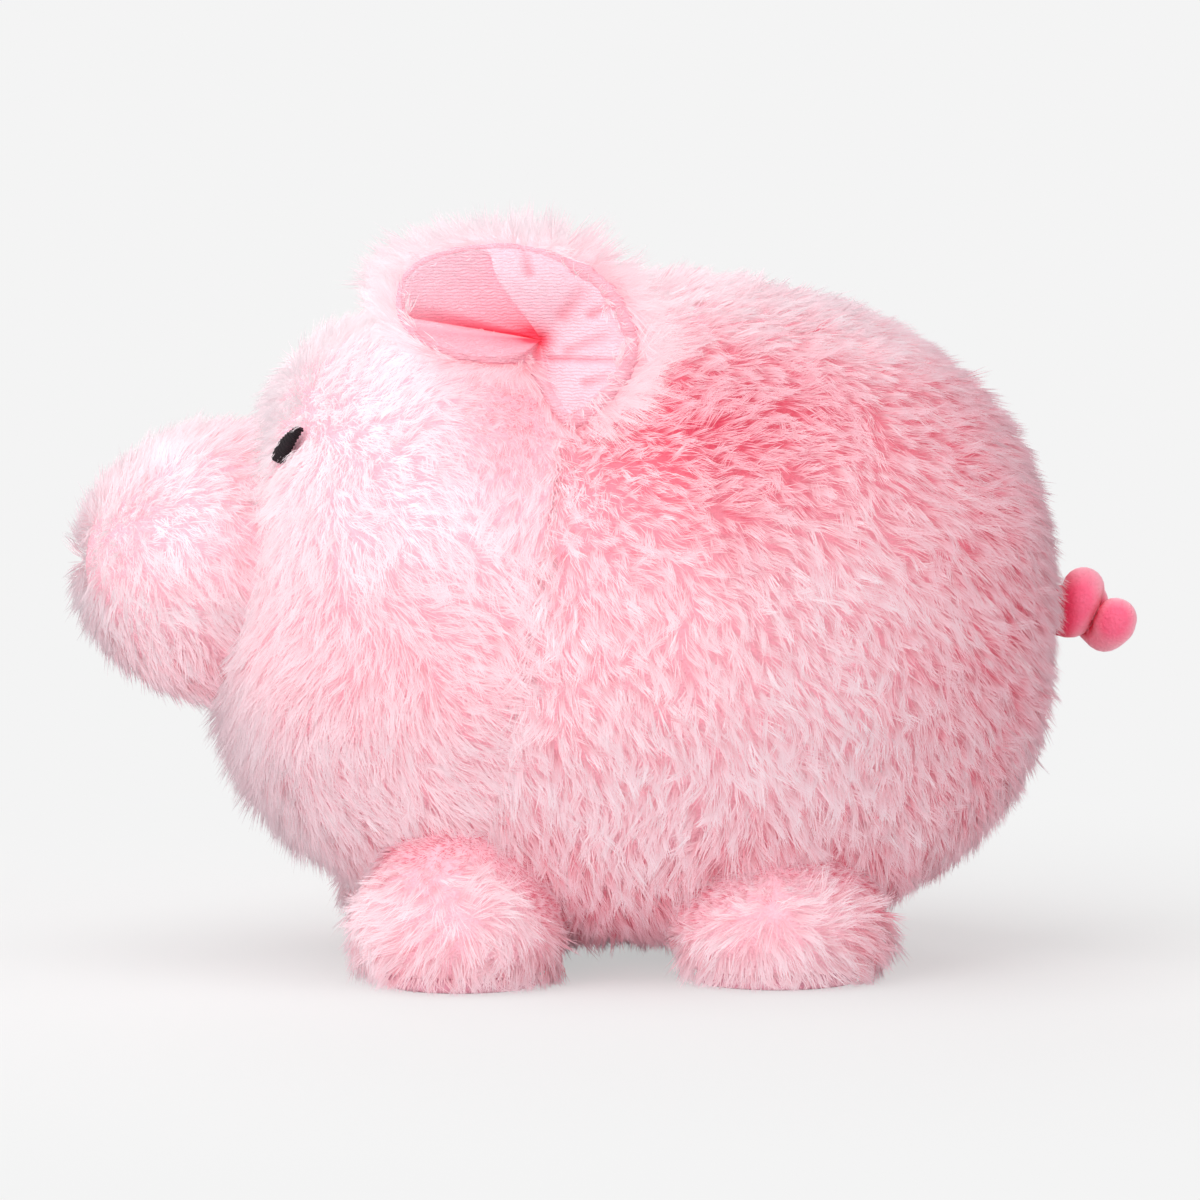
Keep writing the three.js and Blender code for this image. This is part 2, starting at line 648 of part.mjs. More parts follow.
// A leg: a stuffed stub with a rounded top, drawn in towards a flat sole
function legForm(leg, inset, low) {
  const profile = [[0, low]];
  const half = STUFFED_STEPS / 2;
  const shareAt = (z) => (z < LEG_WAIST_Z
    ? (LEG_WAIST_Z - z) / (LEG_UNDERCURVE - inset)
    : (z - LEG_WAIST_Z) / (leg.rise - inset));
  for (let i = 0; i <= half; i += 1) {
    const z = THREE.MathUtils.lerp(low, LEG_WAIST_Z, i / half);
    profile.push([swell(shareAt(z), 2), z]);
  }
  for (let i = 1; i <= half; i += 1) {
    const turn = ((Math.PI / 2) * i) / half;
    profile.push([i === half ? 0 : Math.cos(turn), LEG_WAIST_Z + (leg.rise - inset) * Math.sin(turn)]);
  }
  const form = surfaceOf(turned(profile, STUFFED_SIDES));
  form.scale(leg.halfLength - inset, leg.halfWidth - inset, 1);
  form.translate(leg.x, -leg.y, 0);
  return solidOf(form);
}

function makeLegs(leg) {
  const rim = swell(LEG_WAIST_Z / LEG_UNDERCURVE, 2);
  const solePlate = (grow, high) => {
    const plate = new THREE.CylinderGeometry(1, 1, high, STUFFED_SIDES);
    plate.rotateX(Math.PI / 2);
    plate.translate(0, 0, high / 2);
    const halfLength = leg.halfLength * rim - SOLE_INSET + grow;
    const halfWidth = leg.halfWidth * rim - SOLE_INSET + grow;
    plate.scale(halfLength, halfWidth, 1);
    plate.translate(leg.x, -leg.y, 0);
    return solidOf(plate);
  };
  const lifted = halfSpace(new THREE.Vector3(0, 0, SLEEVE_LIFT), axisZ);
  const outer = legForm(leg, 0, 0).intersect(lifted).subtract(trunkClear);
  const inner = legForm(leg, LEG_PILE, SOLE_THICKNESS);
  const sleeve = outer.subtract(inner).subtract(solePlate(FIT, SOLE_THICKNESS + FIT));
  addPair(`${leg.name}_SIDE_leg_sleeve`, sleeve, plush);
  addPair(`${leg.name}_SIDE_sole`, solePlate(0, SOLE_THICKNESS), plush);
  const fill = legForm(leg, LEG_PILE + FIT, SOLE_THICKNESS + FIT);
  addPair(`${leg.name}_SIDE_leg_filling`, fill.subtract(trunkClear), filling);
}

// Tail: a short-pile tube curled once round on itself
const tailRoot = new THREE.Vector3(GIRTH_X + REAR_REACH + TAIL_STANDOFF, 0, GIRTH_Z + TAIL_RISE);

class TailCurl extends THREE.Curve {
  getPoint(t, target = new THREE.Vector3()) {
    const turn = 2 * Math.PI * TAIL_TURNS * t - Math.PI / 2;
    const radius = TAIL_CURL * THREE.MathUtils.smoothstep(t, 0, TAIL_SETS_IN);
    const run = TAIL_PITCH * TAIL_TURNS * t;
    return target.set(run, -radius * Math.cos(turn), radius * Math.sin(turn)).add(tailRoot);
  }
}

function makeTail() {
  const curl = new TailCurl();
  const { normals, binormals, tangents } = curl.computeFrenetFrames(TAIL_STEPS);
  const ring = (i, radius, along) => Array.from({ length: TAIL_SIDES }, (_, k) => {
    const angle = (2 * Math.PI * k) / TAIL_SIDES;
    return curl.getPointAt(i / TAIL_STEPS)
      .addScaledVector(tangents[i], along)
      .addScaledVector(normals[i], radius * Math.cos(angle))
      .addScaledVector(binormals[i], radius * Math.sin(angle));
  });
  const endRings = (i, way) => Array.from({ length: TAIL_END_STEPS - 1 }, (_, k) => {
    const turn = ((Math.PI / 2) * (k + 1)) / TAIL_END_STEPS;
    return ring(i, TAIL_RADIUS * Math.cos(turn), way * TAIL_RADIUS * Math.sin(turn));
  });
  const rings = tangents.map((_, i) => ring(i, TAIL_RADIUS, 0));
  const pole = (i, way) => curl.getPointAt(i / TAIL_STEPS).addScaledVector(tangents[i], way * TAIL_RADIUS);
  const all = [...endRings(0, -1).reverse(), ...rings, ...endRings(TAIL_STEPS, 1)];
  addPiece('tail', loft(pole(0, -1), all, pole(TAIL_STEPS, 1)), velour());
}

// Room for the tail's root and for its swing, in the skin of the rump
function tailSocket() {
  const socket = new THREE.SphereGeometry(TAIL_RADIUS + FIT, STUFFED_SIDES, STUFFED_SIDES / 2);
  socket.translate(tailRoot.x, tailRoot.y, tailRoot.z);
  const mouth = TAIL_RADIUS + FIT + PILE * Math.tan(TAIL_SWING);
  const flare = new THREE.CylinderGeometry(mouth, TAIL_RADIUS + FIT, PILE, STUFFED_SIDES);
  flare.rotateZ(-Math.PI / 2);
  flare.translate(tailRoot.x + PILE / 2, tailRoot.y, tailRoot.z);
  return solidOf(socket).add(solidOf(flare));
}

// Torso: plush panels joined along the spine and belly, and the stuffing round the coin box
function makeTorso() {
  const pocketLength = bezelLength + 2 * FIT;
  const pocketWidth = bezelWidth + 2 * FIT;
  const bezelPocket = backPlate(pocketLength, pocketWidth, -BEZEL_THICKNESS - FIT, PILE * 2);
  const neckHole = roundEnded(neckLength + 2 * FIT, neckWidth + 2 * FIT, boxTop, bezelTop, BOX_X);
  const flangePocket = portHole(PORT_FLANGE + FIT, -PILE, flangeFoot + PORT_FLANGE_THICKNESS + FIT);
  const collarHole = portHole(collarRadius + FIT, 0, boxBase + OVERCUT);
  let skin = trunkOuter.subtract(trunkInner).intersect(behindNeck);
  for (const cut of [bezelPocket, neckHole, flangePocket, collarHole, tailSocket()]) {
    skin = skin.subtract(cut);
  }
  addPair('torso_SIDE_panel', skin.intersect(leftOfSeam), plush);
  const boxRoom = turned(boxOutline(FIT), ROUND, BOX_X);
  const fill = trunkFill.intersect(behindNeck).subtract(boxRoom).subtract(neckHole).subtract(collarHole);
  addPiece('torso_filling', fill.subtract(flangePocket).subtract(tailSocket()), filling());
}

// Head: plush panels joined along the forehead and chin, its stuffing and the stitched eyes
function makeHead() {
  const skin = trunkOuter.subtract(trunkInner).intersect(aheadOfNeck);
  const seat = seatOnTrunk(EYE_X, GIRTH_Z + EYE_RISE);
  const pocket = stitchPocket(seat, EYE_HALF_WIDTH, EYE_HALF_HEIGHT);
  addPair('head_SIDE_panel', skin.intersect(leftOfSeam).subtract(pocket), plush);
  addPair('SIDE_eye', ovalPad(seat, EYE_HALF_WIDTH, EYE_HALF_HEIGHT, -STITCH_DEPTH, stitchTop), thread);
  addPiece('head_filling', trunkFill.intersect(aheadOfNeck), filling());
}

makeTorso();
makeHead();
makeSnout();
makeEars();
for (const leg of [FRONT_LEG, HIND_LEG]) {
  makeLegs(leg);
}
makeTail();
makeSlotBezel();
makeCoinBox();
makePort();

export default group;
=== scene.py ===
"""Looks of a plush piggy bank: stuffed skins, long pile, cupped ears, stitched eyes and moulded fittings.

Metres, +Z up. The pig faces -X and its left side is -Y.
"""

import json
import math
from collections import namedtuple

import bmesh
import bpy
import numpy as np
from bpy.props import FloatProperty, FloatVectorProperty, PointerProperty
from mathutils import Matrix, Vector, kdtree
from mathutils.bvhtree import BVHTree


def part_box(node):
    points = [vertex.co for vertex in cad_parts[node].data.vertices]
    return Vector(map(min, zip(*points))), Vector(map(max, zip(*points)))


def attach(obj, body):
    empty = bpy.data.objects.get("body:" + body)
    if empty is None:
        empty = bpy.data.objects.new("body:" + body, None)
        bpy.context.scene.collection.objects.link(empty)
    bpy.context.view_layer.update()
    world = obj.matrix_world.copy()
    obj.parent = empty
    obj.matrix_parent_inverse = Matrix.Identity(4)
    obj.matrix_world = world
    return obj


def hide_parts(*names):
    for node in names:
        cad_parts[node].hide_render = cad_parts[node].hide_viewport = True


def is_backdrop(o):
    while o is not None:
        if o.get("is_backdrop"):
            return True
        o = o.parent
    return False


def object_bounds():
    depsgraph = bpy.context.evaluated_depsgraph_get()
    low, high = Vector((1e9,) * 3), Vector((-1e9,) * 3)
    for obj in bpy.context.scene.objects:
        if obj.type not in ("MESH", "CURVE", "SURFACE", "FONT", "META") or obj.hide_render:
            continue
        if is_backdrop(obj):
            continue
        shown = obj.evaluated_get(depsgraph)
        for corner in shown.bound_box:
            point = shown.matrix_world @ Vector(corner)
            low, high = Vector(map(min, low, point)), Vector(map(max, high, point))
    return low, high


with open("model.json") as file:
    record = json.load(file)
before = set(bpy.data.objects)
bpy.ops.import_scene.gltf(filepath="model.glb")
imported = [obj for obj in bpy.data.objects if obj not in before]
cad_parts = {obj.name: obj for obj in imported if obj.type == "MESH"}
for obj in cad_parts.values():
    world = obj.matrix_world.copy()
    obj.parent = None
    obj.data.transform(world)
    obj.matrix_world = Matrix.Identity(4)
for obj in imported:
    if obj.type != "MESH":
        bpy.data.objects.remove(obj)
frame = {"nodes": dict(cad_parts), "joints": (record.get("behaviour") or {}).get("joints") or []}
cad_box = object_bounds()

bl_info = {
    "name": "Plush piggy bank",
    "version": (1, 0, 0),
    "blender": (4, 5, 0),
    "location": "3D View > Sidebar > Piggy Bank",
    "description": "Dresses the piggy bank's frame in stuffed skins, long pile and moulded fittings",
    "category": "Object",
}

MM = 0.001
SEED = 20
SIDES = {"left": -1, "right": 1}

# Strands of the pile
STRAND_WIDEST = 0.42  # share of a strand's length where it is thickest
STRAND_BEND = 0.45  # share of its length below its bend
STRAND_WIDTHS = (0.75, 1.25)
STRAND_LENGTHS = (0.68, 1.06)
TUFT_LENGTHS = (0.84, 1.12)
STRAND_LIFT = 0.08  # spread of the lift in radians, for strands, tufts and locks of tufts
TUFT_LIFT = 0.11
LOCK_LIFT = 0.10
LOCK_SIZE = 3.3  # distance between locks, in tufts
PILE_MAP = "OFBake"  # a strand's tint across and its length upwards
TINT_WIDTH = 0.004  # width of a strand on that map
SKIN_LIGHT = 0.85  # how far a strand takes the light as the skin under it does, not as a thread of its own
LOWEST_LIGHT = -0.25  # strands on the underside take light as if they faced no further down
GROUND_GAP = 0.3 * MM  # strands end this far above the ground

# Depth of the pile's colour on the trunk, with painted light on the brow and the back and painted shade on
# the rump and behind the ears, and the places in metres where it changes
BODY_TINT = 0.38  # on flanks and cheeks
BACK_PAINTED_LIGHT = 0.33
RUMP_PAINTED_SHADE = 0.52
EAR_PAINTED_SHADOW = 0.72
BROW_HEIGHTS = (0.08, 0.14)
BACK_HEIGHTS = (0.140, 0.165)
RUMP_STATIONS = (0.05, 0.105)
NECK_BLEND = (-0.03, 0.03)
EAR_SHADOW_X, EAR_SHADOW_Z = 0.022, 0.138  # middle of the painted shadow behind an ear
EAR_SHADOW_LENGTH, EAR_SHADOW_HEIGHT = 0.045, 0.026

SHEEN_TINT = (1.0, 0.72, 0.79, 1)
THREAD_SHINE = (0.55, 0.32, 0.38)

Coat = namedtuple("Coat", "length root_lift tip_lift spacing pull scatter")
Strands = namedtuple("Strands", "roots outward middles tips tint")


# Properties

def length(name, description, default):
    return FloatProperty(name=name, description=description, default=default, unit="LENGTH", precision=4)


def share(name, description, default):
    return FloatProperty(name=name, description=description, default=default)


def angle(name, description, degrees):
    return FloatProperty(name=name, description=description, default=math.radians(degrees), subtype="ANGLE")


def place(name, description, default):
    return FloatVectorProperty(
        name=name, description=description, default=default, size=len(default), unit="LENGTH", precision=4
    )


def colour(name, description, default):
    return FloatVectorProperty(
        name=name, description=description, default=default, size=3, subtype="COLOR", min=0, max=1
    )


class PigForm(bpy.types.PropertyGroup):
    """Stuffed forms, as the frame has them"""

    girth_x: length("Girth", "Where the body is widest along the pig", 0.010)
    girth_z: length("Girth height", "Height of the girth above the ground", 0.088)
    front_reach: length("Front reach", "Girth to the face", 0.105)
    rear_reach: length("Rear reach", "Girth to the rump", 0.103)
    back_rise: length("Back rise", "Top of the back above the girth", 0.084)
    crown_rise: length("Crown rise", "Top of the head above the girth", 0.076)
    belly_drop: length("Belly drop", "Belly below the girth", 0.084)
    body_half_width: length("Body half width", "Half the width of the body", 0.082)
    head_half_width: length("Head half width", "Half the width of the head", 0.072)
    head_sets_in: share("Head sets in", "Share of the front reach over which body turns into head", 0.6)
    crown: share("Crown squareness", "Fullness of the head's top line", 6.5)
    chest: share("Chest squareness", "Fullness of the chest's line", 2.0)
    face: share("Face squareness", "Fullness of the face from above", 3.0)
    rump: share("Rump squareness", "Fullness of the rump", 2.25)
    seat: share("Seat squareness", "Fullness of the rump's underside", 2.55)
    section: share("Section squareness", "Fullness of the trunk's section", 2.3)
    neck_x: length("Neck", "Neck seam at the height of the girth", -0.021)
    neck_lean: angle("Neck lean", "Lean of the head", 10)
    neck_dip: length("Neck dip", "How far the neck seam draws the skin in", 0.0025)
    neck_softness: length("Neck softness", "Half width of the neck's crease", 0.009)
    neck_lean_reach: length("Lean reach", "Length over which the body straightens up", 0.034)
    snout_root_x: length("Snout root", "Where the snout's round front begins", -0.092)
    snout_rise: length("Snout rise", "Centre of the snout above the girth", 0.011)
    snout_length: length("Snout length", "Root of the snout to its front", 0.0405)
    snout_half_height: length("Snout half height", "Half the height of the snout", 0.036)
    snout_half_width: length("Snout half width", "Half the width of the snout", 0.038)
    snout_seam_x: length("Disc seam", "Where the snout's disc meets its band", -0.115)
    leg_waist: length("Leg waist", "Height of a leg's widest ring", 0.014)
    leg_undercurve: length("Leg undercurve", "Rounding of a leg towards its sole", 0.024)
    front_leg: place("Front leg", "Place along and beside the pig, half sizes and rise",
                     (-0.037, 0.048, 0.0285, 0.025, 0.030))
    hind_leg: place("Hind leg", "Place along and beside the pig, half sizes and rise",
                    (0.0395, 0.048, 0.0295, 0.025, 0.025))
    ear_span: length("Ear span", "Size that the ear's rim is drawn in shares of", 0.050)
    eye_x: length("Eye", "Eye along the pig", -0.0805)
    eye_rise: length("Eye rise", "Eye above the girth", 0.043)
    eye_size: place("Eye size", "Half width and half length of the stitched eye", (0.0023, 0.0056))
    eye_slant: angle("Eye slant", "Lean of the eye towards the rear", 42)
    tail_radius: length("Tail radius", "Radius of the tail's tube", 0.0052)
    tail_curl: length("Tail curl", "Radius of the curl's centre line", 0.0056)
    tail_pitch: length("Tail pitch", "Run of one turn of the curl", 0.0106)
    tail_turns: share("Tail turns", "Turns of the curl", 1.2)
    tail_standoff: length("Tail standoff", "Root of the tail outside the rump", 0.0033)


class PigPile(bpy.types.PropertyGroup):
    """Long pile of the plush"""

    inset: length("Backing depth", "Backing cloth below the tips of the pile", 0.0043)
    leg_inset: length("Leg backing depth", "Backing cloth of the legs below the tips", 0.0042)
    density: share("Density", "Strands on a square metre of backing", 2.32e6)
    strand_width: length("Strand width", "Thickest part of a strand", 0.00025)
    tuft: length("Tuft", "Distance between tufts", 0.0023)
    torso: length("Torso pile", "Length of the torso's strands", 0.0098)
    head: length("Head pile", "Length of the head's strands", 0.0098)
    snout: length("Snout pile", "Length of the snout's strands", 0.0095)
    leg: length("Leg pile", "Length of the legs' strands", 0.0105)
    ear: length("Ear pile", "Length of the strands on the ears' backs", 0.014)


class PigColours(bpy.types.PropertyGroup):
    """Colours of cloth, thread and mouldings"""

    backing: colour("Backing", "Cloth under the pile", (0.98, 0.58, 0.66))
    # painted shade: the backing's colour where its pile is deepest
    backing_fold: colour("Deep backing", "Cloth under the deepest pile", (0.76, 0.05, 0.11))
    # pale and deep pile: the deep end carries painted shade; the deep roots are partly the fibres' own
    # colour and partly painted shade between tufts
    pale_root: colour("Pale root", "Roots of the palest strands", (1.0, 0.76, 0.82))
    pale_tip: colour("Pale tip", "Tips of the palest strands", (1.0, 0.90, 0.94))
    deep_root: colour("Deep root", "Roots of the deepest strands", (0.78, 0.05, 0.11))
    deep_tip: colour("Deep tip", "Tips of the deepest strands", (0.99, 0.64, 0.72))
    lining: colour("Ear lining", "Short pile inside the ears", (0.95, 0.635, 0.72))
    # painted shade deep in the ears' folds
    lining_fold: colour("Ear fold", "Short pile deep in the ears' folds", (0.88, 0.09, 0.15))
    velour: colour("Tail velour", "Short pile of the tail", (0.95, 0.19, 0.31))
    # painted shade deep in the tail's folds
    velour_fold: colour("Tail fold", "Short pile deep in the tail's folds", (0.70, 0.02, 0.07))
    # painted sheen: the colour that short pile takes along its edges
    brushed: colour("Brushed edge", "Short pile seen along its edge", (0.97, 0.62, 0.69))
    sole: colour("Soles", "Cloth of the soles", (0.90, 0.45, 0.55))
    eye: colour("Eye thread", "Satin stitch of the eyes", (0.012, 0.010, 0.012))
    nostril: colour("Nostril thread", "Satin stitch of the nostrils", (0.72, 0.16, 0.26))
    trim: colour("Trim", "Slot bezel and port collar", (0.86, 0.36, 0.46))
    moulding: colour("Moulding", "Coin box", (0.88, 0.83, 0.85))
    rubber: colour("Stopper", "Soft stopper of the port", (0.78, 0.26, 0.36))


class PigStage(bpy.types.PropertyGroup):
    """Camera, floor and light"""

    azimuth: angle("Azimuth", "Camera round the pig", -4)
    elevation: angle("Elevation", "Camera above the horizon", 4.5)
    distance: length("Distance", "Camera to the pig", 1.3)
    aim: place("Aim", "Point that the camera looks at", (0.0, 0.0, 0.088))
    lens: share("Lens", "Focal length in millimetres", 156.0)
    shift: FloatVectorProperty(
        name="Shift", description="Shift of the picture", default=(-0.001, 0.004), size=2, precision=4
    )
    floor_radius: length("Floor radius", "Radius of the round floor", 1.2)
    backdrop: share("Backdrop", "Level of the background", 0.905)
    floor_level: share("Floor level", "Paleness of the floor", 0.72)
    ambient: share("Ambient", "Light from all round", 0.42)
    key: share("Key lamp", "Power of the key lamp in watts", 8.6)
    top: share("Top lamp", "Power of the top lamp in watts", 12.5)
    fill: share("Fill lamp", "Power of the low lamp in watts", 6.8)
    rear: share("Rear lamp", "Power of the lamp behind the rump in watts", 4.2)
    far: share("Far lamp", "Power of the lamp on the far side in watts", 8.0)
    floor_fade: share("Floor fade", "Share of the backdrop in the floor under the pig", 0.55)


# Numbers and directions

def smoothstep(value, low, high):
    part = np.clip((value - low) / (high - low), 0, 1)
    return part * part * (3 - 2 * part)


def falling(value, low, high):
    """A smooth step down, from 1 below low to 0 above high."""
    return smoothstep(-value, -high, -low)


def swell(part, squareness):
    """Share of full size left at a share of the way to the end of a swelling form."""
    return np.maximum(0, 1 - np.clip(part, 0, 1) ** squareness) ** (1 / squareness)


def bent(value, power):
    return np.sign(value) * np.abs(value) ** power


def unit(v):
    return v / np.maximum(np.linalg.norm(v, axis=-1, keepdims=True), 1e-12)


def along_skin(v, outward):
    """The part of v that lies along the skin, as a unit."""
    return unit(v - np.sum(v * outward, axis=-1, keepdims=True) * outward)


def turned(v, outward, turn):
    """v, which lies along the skin, turned about the way out of it."""
    return v * np.cos(turn)[:, None] + np.cross(outward, v) * np.sin(turn)[:, None]


def ripple(points, wavelength, rng, waves=6):
    """A smooth random field over points, mostly between -1 and 1."""
    total = np.zeros(len(points))
    for _ in range(waves):
        way = unit(rng.normal(size=3)) * 2 * math.pi / (wavelength * rng.uniform(0.7, 1.5))
        total += np.sin(points @ way + rng.uniform(0, 2 * math.pi))
    return total / math.sqrt(waves)


def joint_place(name):
    """Where a joint of the frame sits."""
    return next(joint for joint in frame["joints"] if joint["name"] == name)["pos_m"]


# Stuffed forms

def trunk_section(form, x, inset):
    """Half sizes of the trunk's section at stations x, drawn in by inset."""
    ahead = x < form.girth_x
    part = np.abs(x - form.girth_x) / (np.where(ahead, form.front_reach, form.rear_reach) - inset)
    head = np.where(ahead, smoothstep(part, 0, form.head_sets_in), 0)
    rise = form.back_rise + (form.crown_rise - form.back_rise) * head - inset
    width = form.body_half_width + (form.head_half_width - form.body_half_width) * head - inset
    dip = form.neck_dip * np.exp(-(((x - form.neck_x) / form.neck_softness) ** 2))
    top = rise * np.where(ahead, swell(part, form.crown), swell(part, form.rump)) - dip
    drop = form.belly_drop - inset
    bottom = drop * np.where(ahead, swell(part, form.chest), swell(part, form.seat)) - dip
    side = width * np.where(ahead, swell(part, form.face), swell(part, form.rump)) - dip
    return top, bottom, side


def trunk_lean(form, x):
    behind = np.maximum(0, x - form.neck_x) / form.neck_lean_reach
    return math.tan(form.neck_lean) * np.exp(-(behind**2))


def trunk_at(form, lat, turn, inset):
    """Points of the trunk: lat runs from the face to the rump, turn goes round it."""
    reach = np.where(lat < 0, form.front_reach, form.rear_reach) - inset
    x = form.girth_x + np.sin(lat) * reach
    top, bottom, side = trunk_section(form, x, inset)
    up = bent(np.sin(turn), 2 / form.section)
    rise = up * np.where(up > 0, top, bottom)
    y = side * bent(np.cos(turn), 2 / form.section)
    return np.stack([x + trunk_lean(form, x) * rise, y, form.girth_z + rise], axis=-1)


def in_trunk(form, points, inset):
    """Whether points lie inside the trunk, drawn in by inset."""
    rise = points[:, 2] - form.girth_z
    station = points[:, 0]
    for _ in range(3):
        station = points[:, 0] - trunk_lean(form, station) * rise
    top, bottom, side = trunk_section(form, station, inset)
    half = np.maximum(np.where(rise > 0, top, bottom), 1e-6)
    return np.abs(points[:, 1]) < side * swell(np.abs(rise) / half, form.section)


def trunk_tint(form, points):
    """How deep the pile's colour is on the trunk: painted light pales the brow and the back, painted shade
    deepens the rump and a patch behind each ear.
    """
    x, _, z = points.T
    behind = (x - form.neck_x) * math.cos(form.neck_lean) - (z - form.girth_z) * math.sin(form.neck_lean)
    # painted light: the head's pile pales towards the brow
    head = BODY_TINT * falling(z, *BROW_HEIGHTS)
    on_back, on_rump = smoothstep(z, *BACK_HEIGHTS), smoothstep(x, *RUMP_STATIONS)
    torso = BODY_TINT - BACK_PAINTED_LIGHT * on_back + RUMP_PAINTED_SHADE * on_rump
    blend = smoothstep(behind, *NECK_BLEND)
    along, up = (x - EAR_SHADOW_X) / EAR_SHADOW_LENGTH, (z - EAR_SHADOW_Z) / EAR_SHADOW_HEIGHT
    ear_shadow = np.exp(-(along**2) - up**2)
    return head + (torso - head) * blend + EAR_PAINTED_SHADOW * ear_shadow * (behind > 0)


def trunk_side(form, x, z):
    """Half width of the trunk at a place on its side."""
    low, high = 0.0, form.body_half_width
    for _ in range(40):
        middle = (low + high) / 2
        if in_trunk(form, np.array([[x, middle, z]]), 0.0)[0]:
            low = middle
        else:
            high = middle
    return low


def seat_on_trunk(form, x, z, side):
    """A place on the trunk's side and the way out of the skin there."""
    reach = MM

    def at(px, pz):
        return Vector((px, side * trunk_side(form, px, pz), pz))

    run = at(x + reach, z) - at(x - reach, z)
    rise = at(x, z + reach) - at(x, z - reach)
    return at(x, z), (rise.cross(run) * side).normalized()


def eye_axes(form, sign):
    """Place of an eye, the way out of the skin there and the ways along and across the eye."""
    place, out = seat_on_trunk(form, form.eye_x, form.girth_z + form.eye_rise, sign)
    up = (Vector((0, 0, 1)) - out * out.z).normalized()
    turn = Matrix.Rotation(form.eye_slant * sign, 3, out)
    return place, out, turn @ up, turn @ up.cross(out)


def snout_centre(form):
    return Vector((form.snout_root_x, 0, form.girth_z + form.snout_rise))


def in_snout(form, points, inset):
    """Whether points lie inside the snout, drawn in by inset."""
    ahead = (form.snout_root_x - points[:, 0]) / (form.snout_length - inset)
    size = np.where(ahead > 1, 0, swell(np.maximum(ahead, 0), 2))
    y = points[:, 1] / (form.snout_half_width - inset)
    z = (points[:, 2] - snout_centre(form).z) / (form.snout_half_height - inset)
    return (y * y + z * z < size * size) & (points[:, 0] < 0)


def leg_values(form):
    """(name, x, y, half length, half width, rise) of each leg."""
    for end, values in (("front", form.front_leg), ("hind", form.hind_leg)):
        for side, sign in SIDES.items():
            x, y, half_length, half_width, rise = values
            yield f"{end}_{side}", x, sign * y, half_length, half_width, rise


def in_leg(form, points, leg, inset):
    """Whether points lie inside a leg, drawn in by inset."""
    _, x, y, half_length, half_width, rise = leg
    up = points[:, 2] - form.leg_waist
    part = np.where(up < 0, -up / (form.leg_undercurve - inset), up / (rise - inset))
    size = swell(part, 2)
    across = (points[:, 0] - x) / (half_length - inset)
    beside = (points[:, 1] - y) / (half_width - inset)
    return across**2 + beside**2 < size**2


# Meshes and pieces

def collect(bm, name):
    """Turns a bmesh into a mesh with its faces outwards."""
    bmesh.ops.recalc_face_normals(bm, faces=bm.faces)
    if bm.calc_volume(signed=True) < 0:
        bmesh.ops.reverse_faces(bm, faces=bm.faces)
    mesh = bpy.data.meshes.new(name)
    bm.to_mesh(mesh)
    bm.free()
    return mesh


def add_piece(name, mesh, material, carrier, replaced=()):
    """A finished piece that rides on a body, given by its name, or on another piece."""
    piece = bpy.data.objects.new(name, mesh)
    bpy.context.scene.collection.objects.link(piece)
    mesh.materials.append(material)
    if isinstance(carrier, str):
        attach(piece, carrier)
    else:
        piece.parent = carrier
    if replaced:
        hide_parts(*replaced)
    return piece


def smooth(mesh):
    mesh.polygons.foreach_set("use_smooth", np.ones(len(mesh.polygons), bool))
    return mesh


def paint_fold_shade(mesh, depth):
    """Painted shade: how deep in a fold each point lies, as an attribute that materials read."""
    mesh.attributes.new("fold", "FLOAT", "POINT").data.foreach_set("value", np.asarray(depth, np.float32))


def vertex_values(mesh, name):
    """One of the vertices' vectors, such as co, as rows of numbers."""
    values = np.empty(len(mesh.vertices) * 3, np.float32)
    mesh.vertices.foreach_get(name, values)
    return values.reshape(-1, 3).astype(float)


def mapped_ball(segments, rings, place_of):
    """A ball whose points are moved by place_of(latitude, turn), and their latitudes and turns.

    The ball is built face by face, because Blender's own gives its faces another order in each run.
    """
    pole = math.pi / 2
    lat = np.append(np.repeat(np.linspace(-pole, pole, rings + 1)[1:-1], segments), [-pole, pole])
    turn = np.append(np.tile(np.arange(segments) * 2 * math.pi / segments, rings - 1), [0, 0])
    turn = np.where(turn > math.pi, turn - 2 * math.pi, turn)
    bm = bmesh.new()
    verts = [bm.verts.new(point) for point in place_of(lat, turn)]
    south, north = verts[-2:]
    for k in range(segments):
        after = (k + 1) % segments
        bm.faces.new((south, verts[after], verts[k]))
        for low in range(0, (rings - 2) * segments, segments):
            high = low + segments
            bm.faces.new((verts[low + k], verts[low + after], verts[high + after], verts[high + k]))
        bm.faces.new((north, verts[high + k], verts[high + after]))
    return bm, (lat, turn)


def keep_side(bm, point, normal):
    """Cuts a closed form at a plane, keeps what its normal points away from and closes the cut."""
    cut = bmesh.ops.bisect_plane(
        bm,
        geom=bm.verts[:] + bm.edges[:] + bm.faces[:],
        plane_co=point,
        plane_no=normal,
        clear_outer=True,
    )
    edges = [e for e in cut["geom_cut"] if isinstance(e, bmesh.types.BMEdge)]
    bmesh.ops.holes_fill(bm, edges=edges, sides=0)


